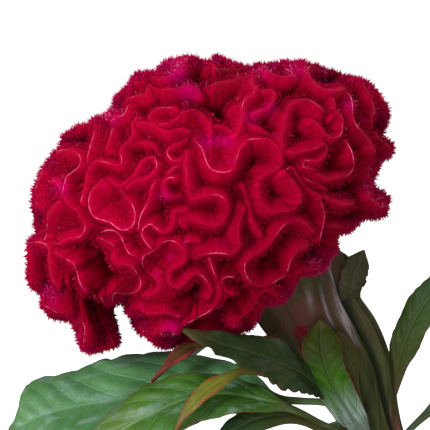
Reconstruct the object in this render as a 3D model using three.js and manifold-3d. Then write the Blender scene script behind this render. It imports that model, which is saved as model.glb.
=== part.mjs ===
// A crested cockscomb in a clay pot: one crimson crest of winding folds on a flattened, leaning, leafy stem.
// Millimetres, +Z up. The origin is the centre of the pot's flat base, and the crest's face looks along -Y.

import * as THREE from 'three';
import { ConvexHull } from 'three/addons/math/ConvexHull.js';
import { mergeVertices } from 'three/addons/utils/BufferGeometryUtils.js';
import Module from 'manifold-3d';

const wasm = await Module();
wasm.setup();

const GAP = 0.3;
const SAME_POINT = 1e-4;

// Pot
const POT_HEIGHT = 105;
const POT_BASE_RADIUS = 42;
const POT_NECK_RADIUS = 54;
const POT_RIM_RADIUS = 60;
const POT_NECK_HEIGHT = 81;
const POT_WALL = 4.5;
const POT_FLOOR = 7;
const POT_EDGE = 1.5;
const POT_SIDES = 40;
const DRAIN_RADIUS = 4;
const DRAIN_RING = 24;
const DRAIN_COUNT = 4;
const DRAIN_SIDES = 16;

// Soil
const SOIL_TOP = 93;
const SOIL_RINGS = 9;
const SOIL_LUMP = 2;
const STEM_HOLE_RADIUS = 7.4;
const STEM_HOLE_SIDES = 28;

// The sight: a level picture frame of 430 by 430 steps, seen from in front and a little above.
// STEP is the size of one step in the upright plane through the crest's centre that faces the eye.
const STEP = 0.333;
const FRAME_MIDDLE = 215;
const EYE_DISTANCE = 800;
const SIGHT_TILT = THREE.MathUtils.degToRad(12);
const CREST_CENTRE = new THREE.Vector3(-63, 0, 240);
const CREST_PX = [210, 195];

// Crest
const CREST_HALF_DEPTH = 46;
const CREST_DEEPEST = 13;
const SOCKET_GAP = 0.4;
const FRONT_GRAIN = 2.12;
const BACK_GRAIN = 3.1;
const LINE_GRAIN_SHARE = 0.85;
const FILL_COUNT = 9000;
const FOLD_STEP = 1;
const SLANT = 1.3;
const FOLD_REACH = 30;
const FLANK_LIMIT = 4.5;
const FLANK_ROWS = [1.05, 0.55];
const FLANK_DROP = 2.2;
const FLANK_DROP_SHARE = 0.75;
const FLANK_SLOPE = 0.25;
const FLANK_CURVE = 2.2;
const CUP_DEPTH = 0.3;
const CUP_DEPTH_SHARE = 0.3;
const CUP_CURVE = 1.8;
const CUP_END = 1.25;
const PLUNGE = 3;
const BACK_TURN = THREE.MathUtils.degToRad(80);

// One more fold winds all round the rim, and hangs forward over the stem as a lip.
const BELT_MARKS = 440;
const BELT_WAVES = 15;
const BELT_SWING = THREE.MathUtils.degToRad(11);
const BELT_HALF = 3.6;
const LIP_AT = THREE.MathUtils.degToRad(318);
const LIP_TILT = THREE.MathUtils.degToRad(15);

// The crest's outline as seen by the eye: angle in degrees, anticlockwise from the right, and reach in steps.
const OUTLINE = [
  [0.5, 175], [2.5, 166], [4.2, 164], [6.5, 168], [9, 171], [11.3, 173], [12.4, 186], [13.4, 190],
  [15.6, 193], [17.5, 190], [19.2, 187.5], [21, 190], [24, 195.5], [27, 199], [31, 199], [35, 193.5],
  [39, 188], [43.6, 181], [49, 168], [55, 165], [59.3, 154.5], [64, 150.5], [68.6, 144], [72.6, 133.5],
  [76, 133], [81, 135], [85, 138], [87.6, 143], [91, 132.5], [96, 138], [101, 142], [106, 140], [111, 141.5],
  [114.5, 134], [120.5, 142], [124, 141], [127, 137], [133.5, 137], [137.4, 135.5], [142.3, 130.5],
  [148.4, 141], [153.4, 151], [160, 162], [167.2, 165], [174, 173.5], [178.4, 176.5], [186, 183],
  [190, 179.5], [192.6, 176], [194.4, 188], [196.5, 192], [199.3, 195.5], [201.9, 200.5], [203.7, 202],
  [205.7, 196.5], [207.9, 201], [209.7, 202.5], [211.2, 198], [213.1, 187.5], [216.2, 197], [217.5, 200],
  [219.8, 201], [221.2, 200], [223.5, 197], [225.5, 194], [227, 190], [228.4, 187.5], [229.4, 183],
  [230.1, 176], [231, 149], [232.5, 145], [234, 146], [236, 150], [239, 152], [242, 155.5], [244, 157],
  [248, 158], [251.8, 160], [255.5, 160], [259, 157], [262.4, 151], [265, 144], [270, 139], [275, 139],
  [278, 142], [282, 143], [286.4, 140], [290.3, 136], [293, 131], [298, 126], [303.2, 129], [307.8, 128],
  [311.5, 126], [319, 130], [324, 134], [328.5, 137], [333, 135], [337, 140], [343, 141.5], [346, 147],
  [349.8, 151.5], [351.3, 155], [352.3, 173], [353.2, 179.5], [354.6, 180.5], [356.5, 179.5], [358.4, 180],
];

// The lobe at the lower left hangs out to the side: past a reach in steps it swings by an angle in degrees.
const SWING_TURN = 10;
const SWING_REACH = [150, 178];
const SWING_START = [196, 216];
const SWING_END = [232, 242];
const SWING_PASSES = 12;
const SWING_EASE = 0.6;

// The crest line of each fold. Each entry holds how far the fold reaches to its left and to its right in
// millimetres, walking along it, how far it stands out, and its line through the frame as x, y pairs.
// A reach under zero is a shallow cup instead of a flank that drops into a crevice.
const FOLDS = [
  [3, -6, 0.5, [58, 152, 66, 150, 74, 151, 80, 155, 82, 160, 80, 167, 74, 172, 68, 177, 66, 184]],
  [2.5, -6, 0.8, [66, 186, 65, 194, 68, 201, 73, 206, 79, 210, 83, 218, 87, 225, 85, 233, 79, 237, 70, 239,
    61, 243]],
  [-6, 5.5, 0.3, [58, 204, 52, 209, 49, 216, 48, 224, 48, 232, 45, 240]],
  [5, 6.5, 0.2, [34, 241, 44, 243, 48, 246, 50, 251, 49, 257, 50, 264, 51, 273, 55, 283]],
  [3, -5.5, 0.6, [56, 251, 62, 255, 69, 259, 74, 262, 77, 267, 79, 273, 81, 281, 86, 290]],
  [4, 4, 0.5, [42, 303, 48, 306, 53, 308, 57, 311, 63, 312, 69, 314, 75, 317, 81, 319, 85, 324, 86, 331,
    85, 339, 84, 348]],
  [3.4, 3.4, 0.2, [100, 298, 108, 309, 113, 320, 117, 333, 115, 345]],
  [4, 4, 0.4, [96, 118, 95, 127, 95, 134, 93, 141, 91, 148, 89, 155, 88, 161]],
  [3.5, 3.2, 0.8, [136, 120, 133, 127, 134, 134, 131, 141, 126, 145, 122, 151, 123, 158, 123, 163, 120, 166,
    112, 164, 104, 162, 97, 162, 92, 167, 89, 173, 88, 181, 86, 190, 83, 201]],
  [3.2, 3.6, 0.2, [101, 182, 106, 179, 111, 181, 115, 184, 120, 186, 127, 182, 133, 177, 138, 169, 143, 161,
    149, 158, 157, 157]],
  [-6.8, 2.6, 1.2, [102, 183, 95, 190, 92, 198, 92, 206, 95, 214, 100, 218, 107, 220, 113, 222, 118, 226,
    124, 229, 131, 228, 136, 222, 137, 214, 135, 206, 131, 200, 127, 196, 125, 192]],
  [3, 3, 0.9, [125, 192, 128, 188, 132, 184, 137, 181, 143, 180, 150, 178, 155, 173, 158, 166, 156, 160]],
  [3, 3, 0, [102, 232, 109, 230, 115, 231, 119, 234, 122, 239, 125, 246, 129, 253, 135, 256]],
  [3, 7, 1.4, [103, 237, 108, 239, 112, 241, 116, 244, 117, 249, 117, 255, 120, 260, 126, 262, 132, 263,
    137, 268, 141, 274, 143, 281, 140, 287, 134, 290, 126, 291, 118, 290, 115, 296, 116, 304]],
  [2.4, 3.4, 0.5, [139, 228, 140, 221, 142, 214, 146, 207, 149, 202, 151, 196, 152, 189, 155, 182]],
  [3, 3, 0.6, [152, 248, 147, 242, 143, 235, 144, 229, 148, 225, 152, 224, 157, 228, 161, 231, 166, 232,
    171, 229, 174, 222, 174, 215, 178, 211, 185, 210]],
  [3, -5.2, 0.8, [149, 253, 156, 249, 161, 244, 168, 240, 176, 241, 182, 246, 186, 254, 184, 261, 177, 265,
    171, 269]],
  [2.8, 3.4, 0.9, [171, 269, 169, 275, 171, 283, 177, 286, 183, 283, 188, 278, 194, 273, 200, 273, 205, 277,
    209, 283, 211, 290, 208, 297]],
  [-5, 2.8, 0.4, [147, 253, 143, 259, 144, 266, 148, 272, 154, 276, 158, 283, 157, 290, 151, 294, 142, 295]],
  [4, 6.5, 0.6, [127, 311, 133, 306, 139, 307, 146, 311, 155, 312, 163, 311, 171, 312, 179, 315]],
  [3.6, 4, 0.2, [148, 336, 157, 333, 167, 330, 177, 333]],
  [3, 4, 0.5, [218, 284, 220, 292, 218, 299, 215, 305, 209, 310, 202, 314, 195, 318, 187, 322]],
  [3, 2.6, 0, [233, 277, 226, 277, 222, 281, 222, 287, 226, 292, 233, 295]],
  [2.6, 3, 0, [209, 257, 211, 264, 214, 272, 217, 280]],
  [5.6, 3, 0.9, [196, 257, 203, 254, 212, 252, 221, 252, 230, 253, 236, 250, 239, 244, 238, 236, 238, 228,
    240, 219, 243, 211]],
  [4, 4.4, 1, [189, 190, 193, 198, 200, 197, 208, 195, 216, 195, 222, 197, 227, 205, 227, 213, 223, 220,
    217, 224, 209, 224, 202, 222, 195, 219, 189, 218, 184, 222]],
  [5.5, 3, 1, [188, 154, 186, 163, 187, 172, 187, 181, 189, 190]],
  [-6.6, 4.2, 1.6, [196, 143, 202, 150, 205, 158, 208, 166, 213, 171, 221, 173, 229, 172, 234, 166, 236, 159,
    239, 151, 244, 145]],
  [3, 4.6, 1, [247, 141, 254, 140, 262, 140, 270, 142, 276, 147, 280, 155, 280, 164, 275, 170, 268, 173,
    262, 176, 258, 181, 256, 187]],
  [5.4, 3, 1.6, [256, 187, 256, 193, 258, 199, 262, 206, 269, 211, 277, 211, 285, 210, 292, 208, 297, 201,
    297, 193, 293, 186, 288, 180, 283, 174]],
  [2.8, 2.6, 0.2, [243, 188, 246, 196, 248, 204, 250, 212, 252, 220, 256, 228, 261, 235]],
  [5.4, 6, 0.8, [250, 76, 251, 84, 254, 90, 252, 96, 246, 100, 242, 106, 242, 114, 241, 122, 239, 129,
    236, 135]],
  [3, 3, 0.4, [216, 127, 222, 127, 228, 130, 233, 134]],
  [3.4, 3.2, 0.2, [255, 113, 262, 110, 268, 107, 273, 100, 274, 94, 270, 90, 262, 91]],
  [6, 3.6, 1.3, [318, 110, 308, 103, 298, 102, 289, 106, 284, 113, 283, 121, 281, 130, 279, 139, 280, 148]],
  [5, 2.6, 0.9, [284, 153, 292, 154, 299, 153, 306, 151, 314, 149, 321, 146]],
  [2.8, 2.8, 0.4, [322, 142, 326, 149, 323, 156, 318, 161, 310, 161, 304, 161, 302, 166]],
  [4, 3.4, 0.5, [302, 167, 309, 170, 316, 174, 323, 178, 331, 179, 339, 177, 347, 175, 352, 168, 352, 159,
    350, 151, 346, 144]],
  [2.4, 3, 0, [294, 169, 298, 177, 302, 183, 308, 189, 315, 193, 323, 198]],
  [2, 2, 0, [303, 177, 310, 181, 317, 184, 325, 188]],
  [3.4, 3, 0.5, [337, 113, 341, 119, 341, 127, 340, 134, 335, 138, 329, 138, 323, 133, 319, 127, 312, 121]],
  [4.2, 4.6, 0.8, [304, 66, 307, 75, 311, 82, 317, 88, 325, 91, 334, 91, 342, 89]],
  [5, 3.6, 0.5, [361, 78, 364, 87, 368, 95, 371, 102, 373, 110, 371, 119]],
  [4, 4, 0.2, [343, 90, 350, 97, 352, 106, 352, 115, 355, 124, 362, 133, 369, 141, 374, 151]],
  [3, 3, 0, [333, 99, 335, 107, 333, 116]],
  [4, 3.4, 0.3, [371, 160, 368, 170, 368, 181, 368, 190, 370, 199, 377, 205, 385, 207]],
  [3.6, 3.6, 0.2, [377, 136, 385, 143, 391, 150, 387, 158]],
  [3.4, 3.6, 0.2, [320, 199, 322, 207, 324, 215, 323, 223, 321, 232, 319, 240]],
  [3, 3, 0, [326, 198, 335, 202, 344, 205, 353, 203]],
  [3.4, 3.4, 0.2, [333, 226, 342, 226, 351, 227]],
  [4, 4, 0.6, [312, 231, 304, 223, 296, 220, 287, 222, 280, 228, 274, 236, 267, 245, 258, 252, 250, 256]],
  [4.6, 3.2, 0.8, [250, 256, 245, 261, 244, 268, 246, 275, 251, 281, 259, 285, 267, 284, 275, 279, 283, 275]],
  [5.4, 3.6, 0.4, [306, 245, 299, 249, 293, 255, 289, 262, 287, 270]],
  [3.6, 3.6, 0.6, [284, 303, 277, 297, 270, 291, 262, 292, 256, 299, 253, 306, 246, 312, 239, 318, 234, 326]],
  [4.8, 4, 0.8, [149, 72, 153, 78, 160, 80, 168, 78, 176, 74, 183, 67, 187, 60]],
  [4, 4.6, 0.6, [206, 60, 211, 67, 219, 70, 227, 70, 236, 67, 245, 68]],
  [3, 6.5, 0.3, [206, 88, 214, 84, 223, 82, 232, 80, 241, 77, 249, 76]],
  [3.4, 4, 0.5, [150, 86, 159, 90, 168, 90, 178, 89, 187, 86, 195, 88, 200, 93]],
  [3, 3, 0, [130, 77, 136, 82, 142, 80, 147, 76]],
  [4, 4, 0.3, [128, 99, 135, 97, 142, 95, 147, 92, 149, 86]],
  [3, -3.6, 0.3, [184, 112, 179, 117, 173, 122, 166, 124, 158, 125, 151, 121, 151, 114, 158, 109, 166, 108,
    175, 109]],
  [3, 4, 0.5, [135, 125, 142, 123, 149, 124, 156, 127, 162, 131, 168, 133, 175, 131, 182, 130, 188, 132]],
  [3, 3, 0.1, [137, 143, 144, 143, 151, 145, 156, 149, 159, 155]],
  [3, 3, 0.4, [187, 140, 180, 144, 173, 147, 168, 151, 169, 157, 174, 161, 181, 160, 186, 154]],
  [3.6, 3, 0.3, [175, 178, 169, 178, 164, 183, 164, 189, 167, 195, 173, 197, 180, 196]],
  [2.6, 2.6, 0, [168, 173, 175, 167, 182, 164]],
  [3.4, 5, 0.7, [184, 114, 191, 111, 198, 113, 204, 117, 208, 124, 211, 132]],
  [2.6, 3, 0, [184, 243, 191, 240, 198, 241]],
  [4.4, 4.6, 0.6, [102, 113, 110, 117, 118, 118, 125, 115, 129, 107]],
  [4, 4, 0, [113, 128, 110, 138, 107, 148]],
  [4, 4, 0.2, [44, 170, 39, 181, 36, 192, 37, 204]],
  [3, 3, 0.4, [50, 181, 57, 183, 61, 189, 62, 197]],
  [5, 5, 0.2, [262, 68, 272, 74, 283, 77, 294, 75]],
  [3.4, 3.4, 0, [250, 125, 262, 130, 271, 137]],
];

// Stem: each row holds its place (a point, or a frame place with its nearness to the eye), the half-width
// along the fan, the half-thickness through it, and the row's turn and its groove's place in degrees.
const STEM_ROWS = [
  { point: [3, 0, 72], wide: 6.4, thick: 5.9, turn: 0, groove: -38 },
  { point: [3, 0, 84], wide: 6.5, thick: 6, turn: 0, groove: -38 },
  { point: [3, 0, 97], wide: 6.7, thick: 6.1, turn: 2, groove: -38 },
  { point: [1.6, 0, 120], wide: 7.3, thick: 6.3, turn: 8, groove: -38 },
  { point: [-2.4, 0, 144], wide: 8.2, thick: 6.5, turn: 15, groove: -38 },
  { frame: [374, 430, -16.6], wide: 9.3, thick: 6.7, turn: 22, groove: -38 },
  { frame: [364, 400, -14.6], wide: 11, thick: 6.8, turn: 24, groove: -43 },
  { frame: [354, 370, -12.4], wide: 12.8, thick: 6.8, turn: 26, groove: -54 },
  { frame: [336, 341, -10.3], wide: 15.4, thick: 6.7, turn: 28, groove: -54 },
  { frame: [314, 316, -8.4], wide: 15.9, thick: 6.7, turn: 31, groove: -40 },
  { frame: [300, 290, -6.5], wide: 17.2, thick: 7, turn: 33, groove: -28 },
  { frame: [289, 266, -4.8], wide: 16.6, thick: 6.8, turn: 34, groove: -14 },
  { frame: [280, 245, -3.5], wide: 13, thick: 5.4, turn: 35, groove: -12 },
  { frame: [275, 237, -3], wide: 8, thick: 3.2, turn: 35, groove: -12 },
];
const STEM_SIDES = 42;
const STEM_RIBS = 14;
const STEM_RIB_DEPTH = 0.045;
const STEM_GROOVE_DEPTH = 0.2;
const STEM_GROOVE_WIDTH = 9;

// Leaves
const BLADE_HALF = 0.36;
const STALK_HALF = 0.95;
const STALK_REACH = [1.7, 4.8];
const TIP_HALF = 0.35;
const TIP_THINNING = 0.5;
const EDGE_LAG = 1.9;
const RIB_UNDER = 0.65;
const RIB_OVER = 0.25;
const VEIN_RISE = 0.2;
const VEIN_SWEEP = 0.16;
const BLADE_VEE = 0.28;
const BLADE_CAMBER = 0.3;

// Each leaf's midrib runs from inside the stem to the tip. Its knots hold a place and the blade's half-width:
// frame leaves give x, y, nearness to the eye and half-width, the others X, Y, Z and half-width.
// face is the way the upper side looks, and wave the height of its ripples.
const FRAME_LEAVES = [
  { rows: 16, columns: 6, face: [0.05, -0.62, 0.78], wave: 1.3, waves: 4.5, phase: 0.4, knots: [
    [358, 427, -15, 1.3], [345, 413, -8, 1.3], [326, 403, -3, 1.3], [300, 401, -1, 1.4], [276, 399, 0, 2.4],
    [243, 391.5, 0, 8.8], [200, 388, -1, 14.4], [155, 393, -2, 17], [108, 402, -3, 18], [68, 409, -4, 16],
    [38, 418, -5, 13], [17, 427, -6, 7], [2, 434, -6, 1]] },
  { rows: 13, columns: 6, face: [0.1, -0.7, 0.72], wave: 1.1, waves: 4, phase: 2.1, knots: [
    [364, 446, -15, 1.2], [345, 434, -8, 1.2], [322, 424, -1, 1.2], [303, 414, 5, 1.3], [283, 406, 9, 2],
    [255, 399, 12, 5.6], [225, 394.5, 14, 7.6], [190, 398, 15, 9], [152, 414, 15, 10.5], [120, 432, 13, 8.5],
    [97, 452, 11, 4.8], [80, 474, 8, 0.7]] },
  { rows: 10, columns: 4, face: [-0.35, -0.8, 0.5], wave: 0.4, waves: 3, phase: 0, knots: [
    [356, 408, -14, 1.2], [326, 394, -3, 1.1], [292, 383, 5, 1], [264, 374, 11, 1], [244, 371, 16, 1.3],
    [222, 377, 20, 2.3], [203, 388, 22, 3.2], [189, 402, 23, 2.9], [180, 417, 23, 1.6], [173, 433, 22, 0.5]] },
  { rows: 13, columns: 6, face: [0.1, -0.72, 0.68], wave: 1.2, waves: 3.5, phase: 1.2, knots: [
    [352, 402, -12, 1.6], [336, 397, -3, 2], [318, 387, 5, 4.2], [298, 372, 12, 7.8], [274, 361, 18, 8.3],
    [250, 352.5, 22, 7], [226, 346, 25, 5], [204, 338.5, 27, 3.2], [183, 330, 28, 0.6]] },
  { rows: 10, columns: 6, face: [-0.15, -1, 0.12], wave: 0.7, waves: 3, phase: 0.5, knots: [
    [372, 447, -16, 1.8], [364, 435, -8, 2.6], [354, 420, -1, 4.6], [342, 401, 4, 5.8], [330, 379, 7, 6.3],
    [323, 356, 8, 6.4], [321, 338, 7, 5.8], [321, 321, 4, 1]] },
  { rows: 9, columns: 4, face: [0.35, -0.9, 0.1], wave: 0.3, waves: 2, phase: 0, knots: [
    [366, 418, -13, 1.2], [357, 400, -4, 1.8], [351, 379, -1, 2.9], [349, 360, 0, 3.8], [344, 344, 0, 2.8],
    [336, 331, -1, 0.6]] },
  { rows: 8, columns: 4, face: [0.25, -0.95, 0], wave: 0.3, waves: 2, phase: 1, knots: [
    [350, 318, -12, 3], [350, 302, -6, 3.6], [351, 287, -3, 3.7], [355, 274, -2, 4.8], [357.5, 263, -2, 4.8],
    [360, 257, -2, 3.6], [363.5, 250.5, -3, 0.6]] },
  { rows: 11, columns: 6, face: [-0.5, -0.8, 0.32], wave: 0.6, waves: 3, phase: 0.8, knots: [
    [382, 416, -16, 1.8], [390, 398, -14, 2], [396, 378, -12, 2.5], [400.5, 356, -10, 4.4], [408, 334, -8, 5.9],
    [419.5, 312, -7, 6.1], [432.5, 293, -6, 5.4], [446, 275, -6, 3.8], [459, 258, -7, 0.7]] },
  { rows: 9, columns: 6, face: [-0.4, -0.8, 0.45], wave: 0.7, waves: 3, phase: 0.2, knots: [
    [386, 484, -18, 1.5], [412, 477, -14, 1.7], [438, 457, -10, 4], [448.5, 429, -7, 6.2], [454, 400, -6, 4.4],
    [461, 372, -7, 0.7]] },
  { rows: 10, columns: 4, face: [0.1, -0.75, 0.66], wave: 0.5, waves: 3, phase: 0.2, knots: [
    [374, 470, -15, 1.2], [352, 453, -8, 1.2], [328, 435, -2, 1.3], [305, 422, 2, 1.5], [282, 416, 5, 3],
    [257, 420, 7, 4.6], [232, 433, 8, 4.2], [206, 464, 8, 0.7]] },
  { rows: 9, columns: 6, face: [0, -0.6, 0.8], wave: 0.8, waves: 3, phase: 1.7, knots: [
    [380, 496, -16, 1.3], [356, 480, -8, 1.5], [330, 464, 0, 3], [304, 456, 6, 6.4], [276, 458, 10, 7.8],
    [248, 470, 12, 6], [222, 490, 11, 0.8]] },
  { rows: 10, columns: 4, face: [-0.3, -0.8, 0.5], wave: 0.2, waves: 2, phase: 0, knots: [
    [292, 322, -9, 1.3], [268, 341, -6, 1.1], [240, 346, -3, 1.1], [213, 347, 0, 1.2], [194, 351, 3, 1.8],
    [179, 357, 5, 2.3], [167, 366, 6, 1.7], [153, 381, 7, 0.5]] },
];
const ROOM_LEAVES = [
  { rows: 10, columns: 6, face: [-0.25, -0.2, 0.95], wave: 1, waves: 3.5, phase: 0.9, knots: [
    [-2, 0, 150, 1.5], [9, 12, 158, 1.6], [24, 24, 165, 5.5], [42, 34, 166, 9.5], [60, 42, 158, 8],
    [76, 48, 144, 0.8]] },
  { rows: 10, columns: 6, face: [0.1, -0.1, 0.97], wave: 1, waves: 3.5, phase: 2.4, knots: [
    [-10, 0, 172, 1.5], [-18, 13, 182, 1.6], [-30, 27, 188, 6], [-44, 42, 188, 10], [-58, 56, 179, 8],
    [-70, 68, 166, 0.8]] },
  { rows: 10, columns: 6, face: [-0.2, 0.25, 0.95], wave: 0.9, waves: 3, phase: 0.3, knots: [
    [2, 0, 126, 1.5], [13, -12, 134, 1.6], [28, -24, 139, 6], [44, -34, 137, 9.5], [60, -42, 127, 7.4],
    [73, -48, 113, 0.8]] },
  { rows: 10, columns: 6, face: [-0.3, -0.75, 0.55], wave: 0.6, waves: 3, phase: 1.5, knots: [
    [-17, 1, 190, 1.5], [-20, 14, 197, 1.7], [-26, 28, 203, 5], [-34, 42, 206, 6.6], [-43, 55, 203, 4.8],
    [-51, 66, 195, 0.7]] },
  { rows: 10, columns: 6, face: [0.2, 0.1, 0.96], wave: 1, waves: 3, phase: 0.7, knots: [
    [1, 0, 114, 1.5], [-13, 3, 124, 1.6], [-30, 5, 131, 6], [-50, 6, 132, 10], [-69, 6, 123, 8],
    [-84, 5, 108, 0.8]] },
  { rows: 10, columns: 6, face: [-0.1, -0.3, 0.94], wave: 0.9, waves: 3, phase: 1.1, knots: [
    [0, 1, 133, 1.5], [-3, 14, 142, 1.6], [-8, 30, 148, 5.4], [-14, 46, 148, 8.6], [-21, 61, 139, 6.6],
    [-27, 72, 127, 0.8]] },
];

// A repeatable pseudo-random number from 0 to 1 for any whole number.
function chance(n) {
  const wide = Math.sin(n * 127.1 + 311.7) * 43758.5453;
  return wide - Math.floor(wide);
}

// The curve through knots of any number of values, at u from 0 to 1.
function spline(knots, u) {
  const last = knots.length - 1;
  const i = Math.min(Math.floor(u * last), last - 1);
  const t = u * last - i;
  const a = knots[Math.max(i - 1, 0)];
  const b = knots[i];
  const c = knots[i + 1];
  const d = knots[Math.min(i + 2, last)];
  return b.map((value, k) => 0.5 * (2 * value + (c[k] - a[k]) * t
    + (2 * a[k] - 5 * value + 4 * c[k] - d[k]) * t * t + (3 * value - a[k] - 3 * c[k] + d[k]) * t * t * t));
}

// The eye's axes: to the right, up the frame and toward the eye.
const RIGHT = new THREE.Vector3(1, 0, 0);
const RISE = new THREE.Vector3(0, Math.sin(SIGHT_TILT), Math.cos(SIGHT_TILT));
const FACE = new THREE.Vector3(0, -Math.cos(SIGHT_TILT), Math.sin(SIGHT_TILT));
const AIM = CREST_CENTRE.clone()
  .addScaledVector(RIGHT, (FRAME_MIDDLE - CREST_PX[0]) * STEP)
  .addScaledVector(RISE, (CREST_PX[1] - FRAME_MIDDLE) * STEP);

// The point seen at a frame place, a given distance in front of the crest's centre plane.
function seenAt(x, y, near) {
  const shrink = 1 - near / EYE_DISTANCE;
  return AIM.clone()
    .addScaledVector(RIGHT, (x - FRAME_MIDDLE) * STEP * shrink)
    .addScaledVector(RISE, (FRAME_MIDDLE - y) * STEP * shrink)
    .addScaledVector(FACE, near);
}

function bodyFrom(points, triangles) {
  const geometry = new THREE.BufferGeometry();
  const places = points.flatMap((point) => point.toArray());
  geometry.setAttribute('position', new THREE.Float32BufferAttribute(places, 3));
  geometry.setIndex(triangles.flat());
  return geometry;
}

function toSolid(geometry) {
  const bare = geometry.clone();
  bare.deleteAttribute('normal');
  bare.deleteAttribute('uv');
  const merged = mergeVertices(bare, SAME_POINT);
  return new wasm.Manifold(new wasm.Mesh({
    numProp: 3,
    vertProperties: Float32Array.from(merged.attributes.position.array),
    triVerts: Uint32Array.from(merged.index.array),
  }));
}

// The largest single body of a solid, as a geometry.
function toGeometry(solid) {
  const bodies = solid.decompose();
  const size = (body) => Math.abs(body.volume());
  const mesh = bodies.reduce((best, body) => (size(body) > size(best) ? body : best)).getMesh();
  const geometry = new THREE.BufferGeometry();
  const points = [];
  for (let i = 0; i < mesh.vertProperties.length; i += mesh.numProp) {
    points.push(...mesh.vertProperties.slice(i, i + 3));
  }
  geometry.setAttribute('position', new THREE.Float32BufferAttribute(points, 3));
  geometry.setIndex([...mesh.triVerts]);
  return geometry;
}

// A closed skin over rows of equal rings of points, with a middle point on each end.
function skinRings(rings) {
  const sides = rings[0].length;
  const points = rings.flat();
  const triangles = [];
  for (let i = 0; i + 1 < rings.length; i += 1) {
    for (let k = 0; k < sides; k += 1) {
      const next = (k + 1) % sides;
      const [a, b] = [i * sides + k, i * sides + next];
      const [c, d] = [a + sides, b + sides];
      triangles.push([a, b, d], [a, d, c]);
    }
  }
  for (const [row, flip] of [[0, true], [rings.length - 1, false]]) {
    const middle = points.length;
    const centre = rings[row].reduce((sum, p) => sum.add(p), new THREE.Vector3()).divideScalar(sides);
    points.push(centre);
    for (let k = 0; k < sides; k += 1) {
      const [a, b] = [row * sides + k, row * sides + (k + 1) % sides];
      triangles.push(flip ? [b, a, middle] : [a, b, middle]);
    }
  }
  return bodyFrom(points, triangles);
}

// Stem: a lofted, ribbed fan with one deep groove down its front, grown by a clearance where it cuts a socket.
function stemBody(clearance) {
  const rings = STEM_ROWS.map((row) => {
    const centre = row.point ? new THREE.Vector3(...row.point) : seenAt(...row.frame);
    const turn = THREE.MathUtils.degToRad(row.turn);
    const along = new THREE.Vector3(Math.cos(turn), 0, Math.sin(turn));
    const through = new THREE.Vector3(0, 1, 0);
    const ring = [];
    for (let k = 0; k < STEM_SIDES; k += 1) {
      const angle = (k / STEM_SIDES) * Math.PI * 2;
      const offGroove = ((THREE.MathUtils.radToDeg(angle) - row.groove + 180) % 360) - 180;
      const groove = STEM_GROOVE_DEPTH * Math.exp(-((offGroove / STEM_GROOVE_WIDTH) ** 2));
      const swell = row.turn > 10 ? groove : 0;
      const reach = 1 + STEM_RIB_DEPTH * Math.cos(STEM_RIBS * angle) - swell;
      ring.push(centre.clone()
        .addScaledVector(along, Math.cos(angle) * (row.wide * reach + clearance))
        .addScaledVector(through, Math.sin(angle) * (row.thick * reach + clearance)));
    }
    return ring;
  });
  return skinRings(rings);
}

// Leaf: a blade of even thickness with a raised midrib, raised forward-swept veins and rippled edges.
// Both faces are split into the same triangles.
function leafBody({ knots, face, wave, waves, phase, rows, columns }) {
  const look = new THREE.Vector3(...face).normalize();
  const place = (u) => new THREE.Vector3(...spline(knots, u).slice(0, 3));
  const over = [];
  const under = [];
  for (let i = 0; i <= rows; i += 1) {
    for (let j = 0; j <= columns; j += 1) {
      const side = (2 * j) / columns - 1;
      const flat = i / rows;
      const u = Math.min(1, flat + VEIN_SWEEP * Math.abs(side) * flat * (1 - flat));
      const half = Math.max(TIP_HALF, spline(knots, u)[3]);
      const ahead = place(Math.min(1, u + 0.01)).sub(place(Math.max(0, u - 0.01))).normalize();
      const across = new THREE.Vector3().crossVectors(ahead, look).normalize();
      const up = new THREE.Vector3().crossVectors(across, ahead);
      const blade = THREE.MathUtils.smoothstep(half, ...STALK_REACH);
      const turn = 2 * Math.PI * waves * u + phase + (side > 0 ? EDGE_LAG : 0);
      const ripple = wave * blade * side * side * Math.sin(turn);
      const vee = half * (BLADE_VEE * Math.abs(side) - BLADE_CAMBER * side * side) * blade;
      const body = THREE.MathUtils.lerp(STALK_HALF, BLADE_HALF, blade);
      const vein = i % 2 === 1 ? VEIN_RISE * blade : 0;
      const rib = side === 0 ? 1 : 0;
      const taper = 1 - TIP_THINNING * THREE.MathUtils.smoothstep(flat, 0.7, 1);
      const middle = place(u).addScaledVector(across, side * half).addScaledVector(up, ripple + vee);
      const top = body + (vein + rib * RIB_OVER) * taper;
      const bottom = body + (vein + rib * RIB_UNDER) * taper;
      over.push(middle.clone().addScaledVector(up, top));
      under.push(middle.clone().addScaledVector(up, -bottom));
    }
  }
  const points = [...over, ...under];
  const base = over.length;
  const triangles = [];
  const id = (i, j) => i * (columns + 1) + j;
  const addQuad = (a, b, c, d) => triangles.push([a, b, c], [a, c, d]);
  for (let i = 0; i < rows; i += 1) {
    for (let j = 0; j < columns; j += 1) {
      const [a, b, c, d] = [id(i, j), id(i, j + 1), id(i + 1, j + 1), id(i + 1, j)];
      const pair = j < columns / 2 ? [[a, b, d], [b, c, d]] : [[a, b, c], [a, c, d]];
      for (const [p, q, r] of pair) {
        triangles.push([p, q, r], [base + r, base + q, base + p]);
      }
    }
    addQuad(id(i, 0), id(i + 1, 0), base + id(i + 1, 0), base + id(i, 0));
    addQuad(id(i + 1, columns), id(i, columns), base + id(i, columns), base + id(i + 1, columns));
  }
  for (let j = 0; j < columns; j += 1) {
    addQuad(id(0, j + 1), id(0, j), base + id(0, j), base + id(0, j + 1));
    addQuad(id(rows, j), id(rows, j + 1), base + id(rows, j + 1), base + id(rows, j));
  }
  return bodyFrom(points, triangles);
}

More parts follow.
